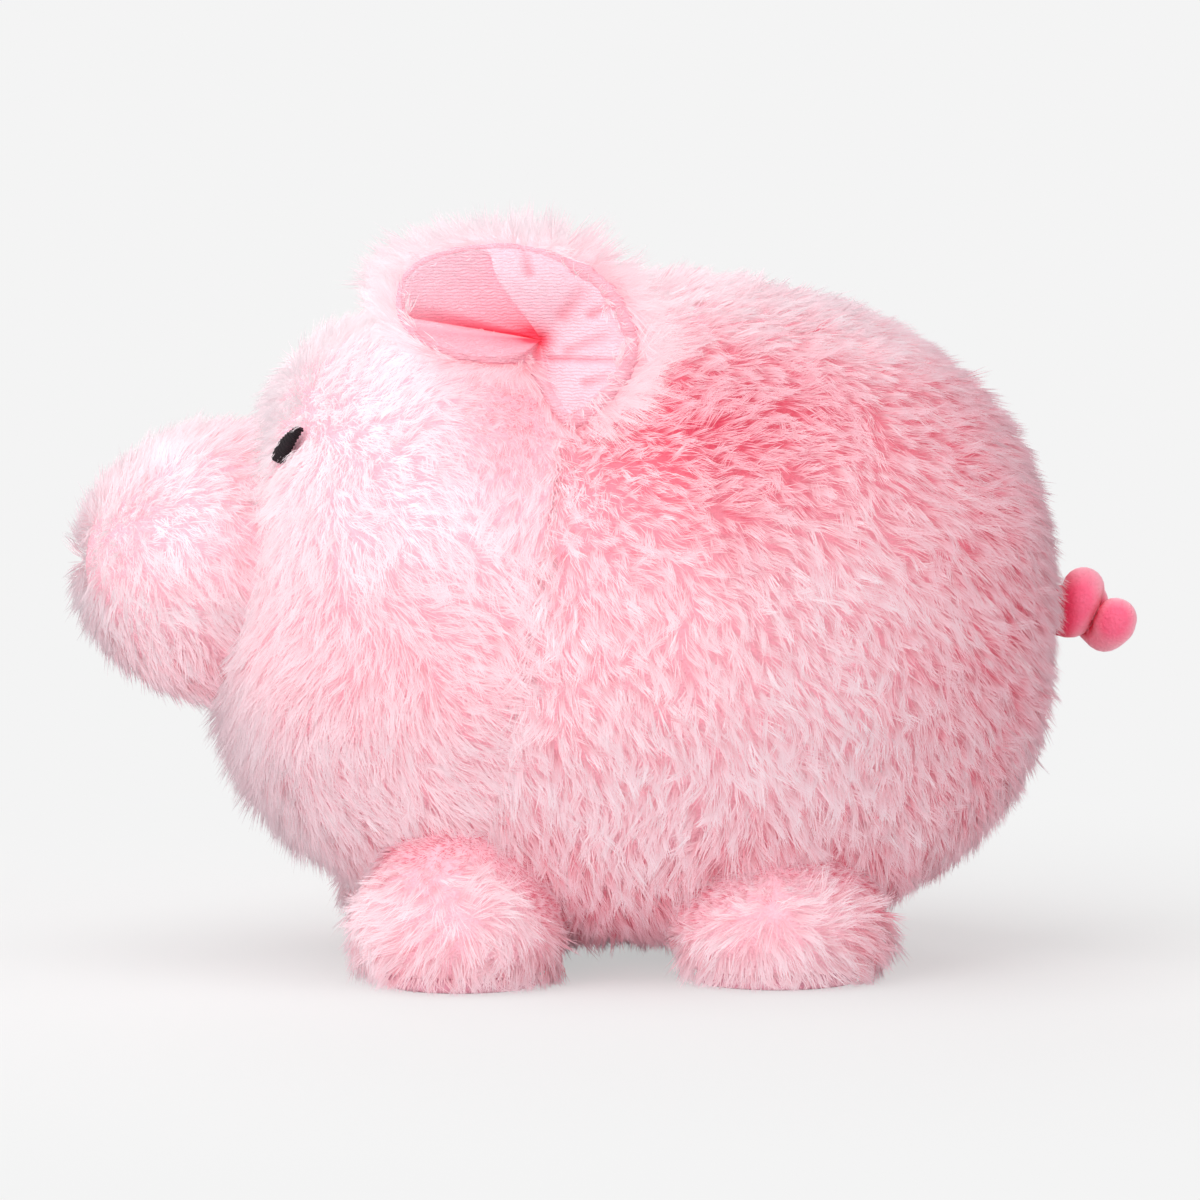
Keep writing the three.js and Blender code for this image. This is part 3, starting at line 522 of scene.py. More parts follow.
def swept(name, paths, closed=False, roundness=2):
    """A mesh of round tubes: each path is (points, radii)."""
    curve = bpy.data.curves.new(name, "CURVE")
    curve.dimensions = "3D"
    curve.bevel_depth = MM
    curve.bevel_resolution = roundness
    curve.use_fill_caps = not closed
    for points, radii in paths:
        spline = curve.splines.new("POLY")
        spline.points.add(len(points) - 1)
        spline.use_cyclic_u = closed
        homogeneous = np.concatenate([points, np.ones((len(points), 1))], axis=1)
        spline.points.foreach_set("co", homogeneous.ravel())
        spline.points.foreach_set("radius", np.asarray(radii, float) / MM)
    holder = bpy.data.objects.new(name, curve)
    bpy.context.scene.collection.objects.link(holder)
    evaluated = holder.evaluated_get(bpy.context.evaluated_depsgraph_get())
    mesh = bpy.data.meshes.new_from_object(evaluated)
    bpy.data.objects.remove(holder)
    bpy.data.curves.remove(curve)
    bm = bmesh.new()
    bm.from_mesh(mesh)
    bpy.data.meshes.remove(mesh)
    bmesh.ops.remove_doubles(bm, verts=bm.verts, dist=1e-6)
    return smooth(collect(bm, name))


def put_in_order(mesh):
    """Sorts a cut mesh's faces, which the cut leaves in another order in each run."""
    points = [v.co.copy() for v in mesh.vertices]
    faces = []
    for polygon in mesh.polygons:
        corners = list(polygon.vertices)
        first = corners.index(min(corners))
        faces.append(corners[first:] + corners[:first])
    mesh.clear_geometry()
    mesh.from_pydata(points, [], sorted(faces))


def hollowed(piece, cutter_mesh):
    """Cuts a closed form out of a piece."""
    cutter = bpy.data.objects.new("cutter", cutter_mesh)
    bpy.context.scene.collection.objects.link(cutter)
    cut = piece.modifiers.new("cut", "BOOLEAN")
    cut.operation = "DIFFERENCE"
    cut.solver = "EXACT"
    cut.object = cutter
    evaluated = piece.evaluated_get(bpy.context.evaluated_depsgraph_get())
    made = bpy.data.meshes.new_from_object(evaluated)
    piece.modifiers.remove(cut)
    bpy.data.objects.remove(cutter)
    old = piece.data
    piece.data = made
    made.name = old.name
    bpy.data.meshes.remove(old)
    put_in_order(made)


# Pile

def roots_on(piece, density, rng):
    """Random roots on a piece's faces and the smooth way out at each."""
    mesh = piece.data
    mesh.calc_loop_triangles()
    corners = np.empty(len(mesh.loop_triangles) * 3, np.int32)
    mesh.loop_triangles.foreach_get("vertices", corners)
    corners = corners.reshape(-1, 3)
    co, normals = (vertex_values(mesh, name) for name in ("co", "normal"))
    a, b, c = (co[corners[:, k]] for k in range(3))
    areas = np.linalg.norm(np.cross(b - a, c - a), axis=1) / 2
    count = int(areas.sum() * density)
    face = np.searchsorted(np.cumsum(areas) / areas.sum(), rng.random(count))
    face = np.minimum(face, len(areas) - 1)
    r, s = np.sqrt(rng.random(count)), rng.random(count)
    weights = np.stack([1 - r, r * (1 - s), r * s], axis=1)
    roots = np.einsum("nk,nkd->nd", weights, co[corners[face]])
    outward = unit(np.einsum("nk,nkd->nd", weights, normals[corners[face]]))
    return roots, outward


def gathered(points, spacing):
    """Index of the tuft that each point belongs to, and the first point of each tuft."""
    cells = np.floor(points / spacing).astype(np.int64)
    _, firsts = np.unique(cells, axis=0, return_index=True)
    tree = kdtree.KDTree(len(firsts))
    for i, k in enumerate(firsts):
        tree.insert(points[k], i)
    tree.balance()
    return np.array([tree.find(p)[1] for p in points]), firsts


def coat_of(length, spacing, root_lift, tip_lift, pull, scatter):
    """A coat whose lifts and scatter are given in degrees."""
    lifts = math.radians(root_lift), math.radians(tip_lift)
    return Coat(length, *lifts, spacing, pull, math.radians(scatter))


def comb(roots, outward, flow, coat, rng, long=1.0, raised=0.0):
    """Middles and tips of strands that lie along flow, gathered in tufts, and each strand's tuft."""
    count = len(roots)
    tuft, firsts = gathered(roots, coat.spacing)
    lock, lock_firsts = gathered(roots, coat.spacing * LOCK_SIZE)
    swing = rng.normal(0, coat.scatter, len(firsts))[tuft]
    swing += rng.normal(0, coat.scatter * 0.6, len(lock_firsts))[lock]
    lifted = raised + rng.normal(0, TUFT_LIFT, len(firsts))[tuft]
    lifted = lifted + rng.normal(0, LOCK_LIFT, len(lock_firsts))[lock]
    size = coat.length * long * rng.uniform(*TUFT_LENGTHS, len(firsts))[tuft]
    size = size * rng.uniform(*STRAND_LENGTHS, count)
    way = turned(along_skin(flow, outward), outward, swing + rng.normal(0, coat.scatter * 0.4, count))

    def reach(part, lift):
        return part * size[:, None] * (np.cos(lift)[:, None] * way + np.sin(lift)[:, None] * outward)

    low = coat.root_lift + lifted + rng.normal(0, STRAND_LIFT, count)
    high = coat.tip_lift + lifted + rng.normal(0, STRAND_LIFT, count)
    knee = roots + reach(STRAND_BEND, low)
    tips = knee + reach(1 - STRAND_BEND, high)
    t = STRAND_WIDEST
    middles = (1 - t) ** 2 * roots + 2 * t * (1 - t) * knee + t * t * tips

    pull = coat.pull * rng.uniform(0.7, 1.0, count)[:, None]
    middles += 0.35 * pull * (middles[firsts][tuft] - middles)
    gathered_tips = tips + pull * (tips[firsts][tuft] - tips)
    gathered_tips += 0.2 * coat.pull * (tips[lock_firsts][lock] - gathered_tips)
    gathered_tips += rng.normal(0, 0.05 * coat.length, (count, 3))
    return middles, gathered_tips, tuft


def wandering(flow, roots, outward, degrees, wavelength, rng):
    """Flow along the skin, turned to either side from place to place."""
    return turned(along_skin(flow, outward), outward, math.radians(degrees) * ripple(roots, wavelength, rng))


def mottle(roots, tuft, by_tuft, by_place, wavelength, rng):
    """Small changes of tint from tuft to tuft and from place to place."""
    return by_tuft * rng.normal(size=tuft.max() + 1)[tuft] + by_place * ripple(roots, wavelength, rng)


def surface_tree(piece):
    mesh = piece.data
    return BVHTree.FromPolygons([v.co for v in mesh.vertices], [p.vertices for p in mesh.polygons])


def crosses(tree, roots, tips, beyond=0.0):
    """Whether strands run through a surface."""
    hit = np.zeros(len(roots), bool)
    for k, (root, tip) in enumerate(zip(roots, tips)):
        way = Vector(tip - root)
        hit[k] = tree.ray_cast(Vector(root), way.normalized(), way.length + beyond)[0] is not None
    return hit


def shorten(roots, middles, tips, where, left):
    """Trims the strands that where marks to a share of their length."""
    for ends in (middles, tips):
        ends[where] = roots[where] + left * (ends[where] - roots[where])


def strand_mesh(name, strands, width, rng):
    """Closed bent strands, thickest near the middle, with a map of tint and length."""
    roots, outward, middles, tips, tint = strands
    count = len(roots)
    along = unit(tips - roots)
    side = unit(np.cross(along, rng.normal(size=(count, 3))))
    other = np.cross(along, side)
    half = 0.5 * width * rng.uniform(*STRAND_WIDTHS, count)[:, None]
    points = np.empty((count, 5, 3))
    round_normals = np.empty((count, 5, 3))
    points[:, 0], points[:, 4] = roots, tips
    round_normals[:, 0], round_normals[:, 4] = outward, along
    for k in range(3):
        turn = 2 * math.pi * k / 3
        radial = math.cos(turn) * side + math.sin(turn) * other
        points[:, 1 + k] = middles + half * radial
        round_normals[:, 1 + k] = radial
    faces = np.array([[0, 2, 1], [0, 3, 2], [0, 1, 3], [4, 1, 2], [4, 2, 3], [4, 3, 1]])
    corners = (faces.ravel()[None, :] + 5 * np.arange(count)[:, None]).ravel()

    mesh = bpy.data.meshes.new(name)
    mesh.vertices.add(5 * count)
    mesh.vertices.foreach_set("co", points.astype(np.float32).ravel())
    mesh.loops.add(len(corners))
    mesh.loops.foreach_set("vertex_index", corners.astype(np.int32))
    mesh.polygons.add(len(corners) // 3)
    mesh.polygons.foreach_set("loop_start", np.arange(0, len(corners), 3, dtype=np.int32))
    uv = np.empty((count, 5, 2), np.float32)
    uv[:, :, 0] = np.clip(tint, 0.02, 0.98)[:, None]
    uv[:, 1:4, 0] += TINT_WIDTH * np.array([-1, 0, 1])
    uv[:, :, 1] = [0, STRAND_WIDEST, STRAND_WIDEST, STRAND_WIDEST, 1]
    mesh.uv_layers.new(name=PILE_MAP).data.foreach_set("uv", uv.reshape(-1, 2)[corners].ravel())
    mesh.update(calc_edges=True)
    lit = outward.copy()
    lit[:, 2] = np.maximum(lit[:, 2], LOWEST_LIGHT)
    normals = unit(SKIN_LIGHT * unit(lit)[:, None] + (1 - SKIN_LIGHT) * round_normals)
    shading = smooth(mesh).attributes.new("custom_normal", "FLOAT_VECTOR", "POINT")
    shading.data.foreach_set("vector", normals.astype(np.float32).ravel())
    return mesh


def add_pile(name, strands, keep, skin, rng):
    """A piece of pile from the strands that keep marks. Its fine fibres cast no shadow."""
    kept = Strands(*(values[keep] for values in strands))
    for ends in (kept.tips, kept.middles):
        ends[:, 2] = np.maximum(ends[:, 2], GROUND_GAP)
    mesh = strand_mesh(name, kept, bpy.context.scene.pig_pile.strand_width, rng)
    add_piece(name, mesh, pile_material(), skin).visible_shadow = False


# Materials

def new_material(name, roughness, sheen=0.0, specular=0.3):
    """A material whose shader takes its colour and bump from nodes."""
    material = bpy.data.materials.new(name)
    material.use_nodes = True
    tree = material.node_tree
    shader = tree.nodes["Principled BSDF"]
    shader.inputs["Roughness"].default_value = roughness
    shader.inputs["Specular IOR Level"].default_value = specular
    shader.inputs["Sheen Weight"].default_value = sheen
    if sheen:
        shader.inputs["Sheen Tint"].default_value = SHEEN_TINT
    return material, tree, shader


def cached(make):
    """Makes a material once and hands it out again."""
    made = {}

    def give(*key):
        if key not in made:
            made[key] = make(*key)
        return made[key]

    return give


def named_colour(name):
    return tuple(getattr(bpy.context.scene.pig_colours, name))


def add_node(tree, kind, inputs=(), **settings):
    """A node with its settings, whose inputs are sockets to link or plain values."""
    node = tree.nodes.new("ShaderNode" + kind)
    for name, value in settings.items():
        setattr(node, name, value)
    for name, value in dict(inputs).items():
        if isinstance(value, bpy.types.NodeSocket):
            tree.links.new(value, node.inputs[name])
        else:
            node.inputs[name].default_value = value
    return node


def object_place(tree):
    return add_node(tree, "TexCoord").outputs["Object"]


def mix_colours(tree, factor, *colours):
    """A mix of two colours, each a socket or three numbers."""
    first, second = (v if isinstance(v, bpy.types.NodeSocket) else (*v, 1) for v in colours)
    return add_node(tree, "Mix", {0: factor, 6: first, 7: second}, data_type="RGBA").outputs[2]


def mix_shaders(tree, factor, first, second):
    return add_node(tree, "MixShader", {0: factor, 1: first.outputs[0], 2: second.outputs[0]}).outputs[0]


def add_bump(tree, shader, height, strength, distance):
    bump = add_node(tree, "Bump", {"Height": height, "Strength": strength, "Distance": distance})
    tree.links.new(bump.outputs[0], shader.inputs["Normal"])


def ramp(tree, value, stops):
    """A colour ramp over a socket: stops are (place, colour)."""
    node = add_node(tree, "ValToRGB", {0: value})
    elements = node.color_ramp.elements
    while len(elements) < len(stops):
        elements.new(0.5)
    for element, (where, shade) in zip(elements, stops):
        element.position = where
        element.color = (*shade, 1)
    return node.outputs[0]


def blended(first, second, part):
    return tuple(a + (b - a) * part for a, b in zip(first, second))


@cached
def pile_material():
    """Strands: deep at the root and pale at the tip, between a pale and a deep tint; the deep roots are
    partly painted shade between the tufts.
    """
    c = bpy.context.scene.pig_colours
    material, tree, shader = new_material("long_pile", 0.85, sheen=0.25, specular=0.0)
    uv = add_node(tree, "UVMap", uv_map=PILE_MAP)
    tint, along, _ = add_node(tree, "SeparateXYZ", {0: uv.outputs[0]}).outputs
    shades = []
    for root, tip, middle in ((c.pale_root, c.pale_tip, 0.45), (c.deep_root, c.deep_tip, 0.28)):
        parts = {0.0: 0.0, 0.4: middle, 0.75: 0.8, 1.0: 1.0}
        shades.append(ramp(tree, along, [(at, blended(root, tip, part)) for at, part in parts.items()]))
    tree.links.new(mix_colours(tree, tint, *shades), shader.inputs["Base Color"])
    return material


@cached
def nap_group():
    """Node group: a fine short nap with a brushed shade, from Object coordinates."""
    tree = bpy.data.node_groups.new("short_nap", "ShaderNodeTree")
    for name, kind, default in (
        ("Colour", "NodeSocketColor", (0.8, 0.4, 0.5, 1)),
        ("Shade", "NodeSocketColor", (0.6, 0.2, 0.3, 1)),
        ("Scale", "NodeSocketFloat", 1200.0),
    ):
        tree.interface.new_socket(name, in_out="INPUT", socket_type=kind).default_value = default
    tree.interface.new_socket("Colour", in_out="OUTPUT", socket_type="NodeSocketColor")
    tree.interface.new_socket("Height", in_out="OUTPUT", socket_type="NodeSocketFloat")
    given = tree.nodes.new("NodeGroupInput").outputs
    tone, shade, scale = (given[name] for name in ("Colour", "Shade", "Scale"))
    results = tree.nodes.new("NodeGroupOutput").inputs
    where = object_place(tree)
    noise = {"Vector": where, "Detail": 3.0, "Roughness": 0.6}
    fine = add_node(tree, "TexNoise", {**noise, "Scale": scale}).outputs[0]
    brushed = add_node(tree, "TexNoise", {**noise, "Scale": 140.0}).outputs[0]
    spots = add_node(tree, "TexVoronoi", {"Vector": where, "Scale": scale}).outputs["Distance"]
    height = add_node(tree, "Math", {0: fine, 1: spots}, operation="SUBTRACT")
    tree.links.new(height.outputs[0], results["Height"])
    spread = add_node(tree, "MapRange", {0: brushed, "From Min": 0.3, "From Max": 0.75}).outputs[0]
    deep = add_node(tree, "MapRange", {0: spots, "From Min": 0.1, "From Max": 0.9, "To Max": 0.5}).outputs[0]
    shaded = mix_colours(tree, spread, shade, tone)
    tree.links.new(mix_colours(tree, deep, shaded, shade), results["Colour"])
    return tree


def add_nap(tree, base, shade_share, scale):
    """Colour and height of a nap in a base colour."""
    shade = (*(v**1.25 * shade_share for v in base), 1)
    inputs = {"Colour": (*base, 1), "Shade": shade, "Scale": scale}
    outputs = add_node(tree, "Group", inputs, node_tree=nap_group()).outputs
    return outputs["Colour"], outputs["Height"]


@cached
def sole_material():
    """Short nap of the soles."""
    material, tree, shader = new_material("sole_nap", 0.85, sheen=0.2, specular=0.15)
    tone, height = add_nap(tree, named_colour("sole"), 0.75, 1100.0)
    tree.links.new(tone, shader.inputs["Base Color"])
    add_bump(tree, shader, height, 0.5, 0.6 * MM)
    return material


@cached
def folded_material(name, ribs, edge):
    """Short pile in one of the named colours: ribbed, with painted shade deep in its folds and a painted
    sheen that pales it along its edges.
    """
    material, tree, shader = new_material(f"{name}_nap", 0.85, specular=0.1)
    tone, height = add_nap(tree, named_colour(name), 1.0, 1300.0)
    # painted sheen: paler where the surface turns away from the view
    facing = add_node(tree, "LayerWeight", {"Blend": 0.5}).outputs["Facing"]
    pale = add_node(tree, "MapRange", {0: facing, "From Min": 0.15, "To Max": edge}).outputs[0]
    tone = mix_colours(tree, pale, tone, named_colour("brushed"))
    # painted shade: the fold attribute darkens the colour towards its fold colour
    depth = add_node(tree, "Attribute", attribute_name="fold").outputs["Fac"]
    tone = mix_colours(tree, depth, tone, named_colour(name + "_fold"))
    tree.links.new(tone, shader.inputs["Base Color"])
    waves = {"Scale": 420.0, "Distortion": 5.0, "Detail": 2.0, "Detail Scale": 1.5}
    waves["Vector"] = object_place(tree)
    lines = add_node(tree, "TexWave", waves, bands_direction="Z").outputs["Fac"]
    rough = add_node(tree, "Math", {0: lines, 1: ribs, 2: height}, operation="MULTIPLY_ADD")
    add_bump(tree, shader, rough.outputs[0], 0.55, 0.6 * MM)
    return material


def lining_material():
    return folded_material("lining", 1.0, 0.2)


def backing_material():
    return folded_material("backing", 0.0, 0.0)


@cached
def thread_material(name):
    """Satin stitch: smooth thread whose fibres show along the tube."""
    base = named_colour(name)
    material, tree, shader = new_material(f"{name}_satin", 0.5, specular=0.12)
    noise = {"Vector": object_place(tree), "Scale": 2200.0, "Detail": 2.0}
    grain = add_node(tree, "TexNoise", noise).outputs[0]
    # painted sheen: the grain lifts the thread a little towards a pale pink shine
    lifted = blended(base, THREAD_SHINE, 0.03)
    tree.links.new(mix_colours(tree, grain, base, lifted), shader.inputs["Base Color"])
    add_bump(tree, shader, grain, 0.4, 0.2 * MM)
    return material


@cached
def moulded_material(name, roughness):
    """Moulded pieces: a faint flow of colour, a fine grain and rubbed patches."""
    base = named_colour(name)
    material, tree, shader = new_material(f"{name}_moulded", roughness, specular=0.4)
    where = object_place(tree)
    flows = {"Vector": where, "Scale": 45.0, "Detail": 4.0, "Distortion": 0.6}
    flow = add_node(tree, "TexNoise", flows).outputs[0]
    grain = add_node(tree, "TexNoise", {"Vector": where, "Scale": 1600.0, "Detail": 2.0}).outputs[0]
    darker = tuple(v * 0.88 for v in base)
    tree.links.new(mix_colours(tree, flow, darker, base), shader.inputs["Base Color"])
    range_to = {"To Min": roughness * 0.8, "To Max": min(1.0, roughness * 1.25)}
    rubbed = add_node(tree, "MapRange", {0: flow, **range_to})
    tree.links.new(rubbed.outputs[0], shader.inputs["Roughness"])
    add_bump(tree, shader, grain, 0.12, 0.3 * MM)
    return material


# Operators

class PIG_OT_stage(bpy.types.Operator):
    """Camera, floor, backdrop and lamps"""

    bl_idname = "pig.stage"
    bl_label = "Stage"

    # place and size of each lamp
    lamps = {
        "key": ((-1.10, -1.05, 0.70), 0.9),
        "top": ((-0.30, -0.25, 1.35), 1.2),
        "fill": ((-0.25, -1.30, 0.12), 0.8),
        "rear": ((1.20, -0.55, 0.45), 0.9),
        "far": ((-0.15, 1.30, 0.60), 0.9),
    }
    # distances from the pig's middle between which the floor fades into the backdrop
    fade_start = 0.12
    fade_end = 0.36

    def execute(self, context):
        stage = context.scene.pig_stage
        context.scene.view_settings.view_transform = "Standard"
        self.add_camera(context, stage)
        self.add_world(context, stage)
        self.add_floor(context, stage)
        for name, (location, size) in self.lamps.items():
            self.add_lamp(context, f"{name}_lamp", getattr(stage, name), Vector(location), size, stage)
        return {"FINISHED"}

    def aimed(self, back):
        """Turn of a camera or lamp that looks along the reverse of back."""
        return (-back).to_track_quat("-Z", "Y").to_euler()

    def add_camera(self, context, stage):
        a, e = stage.azimuth, stage.elevation
        back = Vector((math.sin(a) * math.cos(e), -math.cos(a) * math.cos(e), math.sin(e)))
        data = bpy.data.cameras.new("camera")
        data.lens = stage.lens
        data.shift_x, data.shift_y = stage.shift
        camera = bpy.data.objects.new("camera", data)
        camera.location = Vector(stage.aim) + back * stage.distance
        camera.rotation_euler = self.aimed(back)
        context.scene.collection.objects.link(camera)
        context.scene.camera = camera

    def add_world(self, context, stage):
        """A white backdrop for the camera and an even light on the pig."""
        world = bpy.data.worlds.new("studio")
        world.use_nodes = True
        context.scene.world = world
        tree = world.node_tree
        white = (1, 1, 1, 1)
        lit = tree.nodes["Background"]
        lit.inputs["Color"].default_value = white
        lit.inputs["Strength"].default_value = stage.ambient
        seen = add_node(tree, "Background", {"Color": white, "Strength": stage.backdrop})
        mixed = mix_shaders(tree, self.seen_rays(tree), lit, seen)
        tree.links.new(mixed, tree.nodes["World Output"].inputs[0])

    def seen_rays(self, tree):
        """Rays that show the backdrop itself, straight, mirrored or through a clear piece."""
        rays = add_node(tree, "LightPath").outputs
        total = rays["Is Camera Ray"]
        for name in ("Is Glossy Ray", "Is Transmission Ray"):
            total = add_node(tree, "Math", {0: total, 1: rays[name]}, operation="MAXIMUM").outputs[0]
        return total

    def add_floor(self, context, stage):
        bm = bmesh.new()
        bmesh.ops.create_circle(bm, cap_ends=True, segments=96, radius=stage.floor_radius)
        floor = bpy.data.objects.new("floor", collect(bm, "floor"))
        context.scene.collection.objects.link(floor)
        floor.data.materials.append(self.floor_material(stage))
        floor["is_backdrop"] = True

    def floor_material(self, stage):
        """Pale and matt round the pig, fading into the backdrop."""
        material, tree, shader = new_material("floor", 1.0, specular=0.0)
        level = stage.floor_level
        shader.inputs["Base Color"].default_value = (level, level, level, 1)
        away = add_node(tree, "VectorMath", {0: object_place(tree)}, operation="LENGTH").outputs["Value"]
        fades = {0: away, "From Min": self.fade_start, "From Max": self.fade_end, "To Min": stage.floor_fade}
        fade = add_node(tree, "MapRange", fades, interpolation_type="SMOOTHSTEP").outputs[0]
        faded = add_node(tree, "Math", {0: fade, 1: self.seen_rays(tree)}, operation="MULTIPLY").outputs[0]
        seen = add_node(tree, "Emission", {"Strength": stage.backdrop})
        mixed = mix_shaders(tree, faded, shader, seen)
        tree.links.new(mixed, tree.nodes["Material Output"].inputs[0])
        return material

    def add_lamp(self, context, name, power, location, size, stage):
        data = bpy.data.lights.new(name, "AREA")
        data.energy = power
        data.size = size
        lamp = bpy.data.objects.new(name, data)
        lamp.location = location
        lamp.rotation_euler = self.aimed(location - Vector(stage.aim))
        context.scene.collection.objects.link(lamp)


class PIG_OT_skins(bpy.types.Operator):
    """Stuffed backing of torso, head, snout and legs, with room for the coin box"""

    bl_idname = "pig.skins"
    bl_label = "Stuffed skins"

    box_clearance = 0.4 * MM
    snout_stub = 24 * MM  # length of the snout's root in the head
    sole_inset = 1.5 * MM
    sole_round = 1.2 * MM

    def execute(self, context):
        form, pile = context.scene.pig_form, context.scene.pig_pile
        self.add_trunk(form, pile)
        self.add_snout(form, pile)
        for leg in leg_values(form):
            self.add_leg(form, pile, leg)
        return {"FINISHED"}

    def add_backing(self, name, bm, nodes, fill):
        """A stuffed skin of backing cloth."""
        mesh = smooth(collect(bm, name))
        piece = add_piece(name, mesh, backing_material(), "pig", nodes)
        return piece

    def shade_backing(self, form, piece):
        """Makes the backing deeper in colour where the pile's colour is deep, so it shares the pile's
        painted shade behind the ears and on the rump.
        """
        deep = trunk_tint(form, vertex_values(piece.data, "co")) - 0.2
        paint_fold_shade(piece.data, np.clip(deep, 0, 1))

    def trunk_ball(self, form, pile):
        def place_of(lat, turn):
            return trunk_at(form, lat, turn + math.pi / 2, pile.inset)

        return mapped_ball(128, 96, place_of)[0]

    def add_trunk(self, form, pile):
        neck = Vector((form.neck_x, 0, form.girth_z))
        normal = Vector((math.cos(form.neck_lean), 0, -math.sin(form.neck_lean)))
        torso = self.trunk_ball(form, pile)
        keep_side(torso, neck, -normal)
        head = self.trunk_ball(form, pile)
        keep_side(head, neck, normal)
        torso_nodes = ("torso_left_panel", "torso_right_panel", "torso_filling")
        piece = self.add_backing("torso_skin", torso, torso_nodes, 0.85)
        for cutter in self.box_room():
            hollowed(piece, cutter)
        smooth(piece.data)
        self.shade_backing(form, piece)
        head_nodes = ("head_left_panel", "head_right_panel", "head_filling")
        self.shade_backing(form, self.add_backing("head_skin", head, head_nodes, 0.85))

    def box_room(self):
        """Closed forms of the room that the coin box, its chute and its port take up in the stuffing."""
        low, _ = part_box("coin_box_tub")
        _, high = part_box("coin_box_lid")
        yield self.upright("coin_box_tub", low.z, high.z)
        _, bezel_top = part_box("slot_bezel")
        yield self.slot_room("coin_chute", high.z - 4 * MM, bezel_top.z + 20 * MM)
        yield self.upright("port_collar", 0.0, low.z + 2 * MM)

    def upright(self, node, bottom, top):
        """A round column around a node."""
        low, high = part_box(node)
        centre = (low + high) / 2
        radius = (high.x - low.x) / 2 + self.box_clearance
        bm = bmesh.new()
        bmesh.ops.create_cone(
            bm, cap_ends=True, segments=48, radius1=radius, radius2=radius, depth=top - bottom,
            matrix=Matrix.Translation((centre.x, centre.y, (top + bottom) / 2)),
        )
        return collect(bm, "room")

    def slot_room(self, node, bottom, top):
        """An upright prism with round ends around a node."""
        low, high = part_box(node)
        radius = (high.y - low.y) / 2 + self.box_clearance
        reach = (high.x - low.x) / 2 + self.box_clearance - radius
        middle = (low.x + high.x) / 2
        bm = bmesh.new()
        bmesh.ops.create_circle(bm, cap_ends=True, segments=24, radius=radius)
        for vert in bm.verts:
            vert.co.x += middle + math.copysign(reach, vert.co.x)
            vert.co.z += bottom
        made = bmesh.ops.extrude_face_region(bm, geom=bm.faces[:])
        raised = [v for v in made["geom"] if isinstance(v, bmesh.types.BMVert)]
        bmesh.ops.translate(bm, verts=raised, vec=(0, 0, top - bottom))
        return collect(bm, "room")

    def add_snout(self, form, pile):
        centre = snout_centre(form)
        inset = pile.inset

        def place_of(lat, turn):
            ahead = np.sin(np.maximum(lat, 0))
            behind = np.minimum(lat, 0) / (math.pi / 2)
            size = np.where(lat > 0, np.cos(lat), np.clip((lat + math.pi / 2) / 0.35, 0, 1))
            x = centre.x - (form.snout_length - inset) * ahead - self.snout_stub * behind
            y = (form.snout_half_width - inset) * size * np.cos(turn)
            z = centre.z + (form.snout_half_height - inset) * size * np.sin(turn)
            return np.stack([x, y, z], axis=-1)

        bm, _ = mapped_ball(72, 48, place_of)
        self.add_backing("snout_skin", bm, ("snout_disc", "snout_band", "snout_filling"), 0.9)

    def add_leg(self, form, pile, leg):
        name, x, y, half_length, half_width, rise = leg
        inset = pile.leg_inset
        sole_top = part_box(f"{name}_sole")[1].z

        def place_of(lat, turn):
            size = np.cos(lat)
            reach = np.where(lat > 0, rise - inset, form.leg_undercurve - inset)
            return np.stack([
                x + (half_length - inset) * size * np.cos(turn),
                y + (half_width - inset) * size * np.sin(turn),
                form.leg_waist + reach * np.sin(lat),
            ], axis=-1)

        bm, _ = mapped_ball(48, 40, place_of)
        keep_side(bm, Vector((x, y, sole_top)), Vector((0, 0, -1)))
        self.add_backing(f"{name}_leg_skin", bm, (f"{name}_leg_sleeve", f"{name}_leg_filling"), 0.8)
        self.add_sole(name, x, y)

    def add_sole(self, name, x, y):
        """A flat cloth sole with a soft edge."""
        low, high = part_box(f"{name}_sole")
        bm = bmesh.new()
        bmesh.ops.create_cone(
            bm, cap_ends=True, segments=56, radius1=1, radius2=1, depth=high.z - low.z,
            matrix=Matrix.Translation((0, 0, (high.z + low.z) / 2)),
        )
        across = (high.x - low.x) / 2 - self.sole_inset
        beside = (high.y - low.y) / 2 - self.sole_inset
        bmesh.ops.scale(bm, verts=bm.verts, vec=(across, beside, 1))
        bmesh.ops.translate(bm, verts=bm.verts, vec=(x, y, 0))
        rims = [e for e in bm.edges if len({abs(f.normal.z) > 0.5 for f in e.link_faces}) == 2]
        bmesh.ops.bevel(
            bm, geom=rims, offset=self.sole_round, offset_type="OFFSET", segments=3, profile=0.5,
            affect="EDGES", material=-1,
        )
        mesh = smooth(collect(bm, f"{name}_sole_cloth"))
        piece = add_piece(mesh.name, mesh, sole_material(), "pig", (f"{name}_sole",))


EarPoint = namedtuple("EarPoint", "back out up")


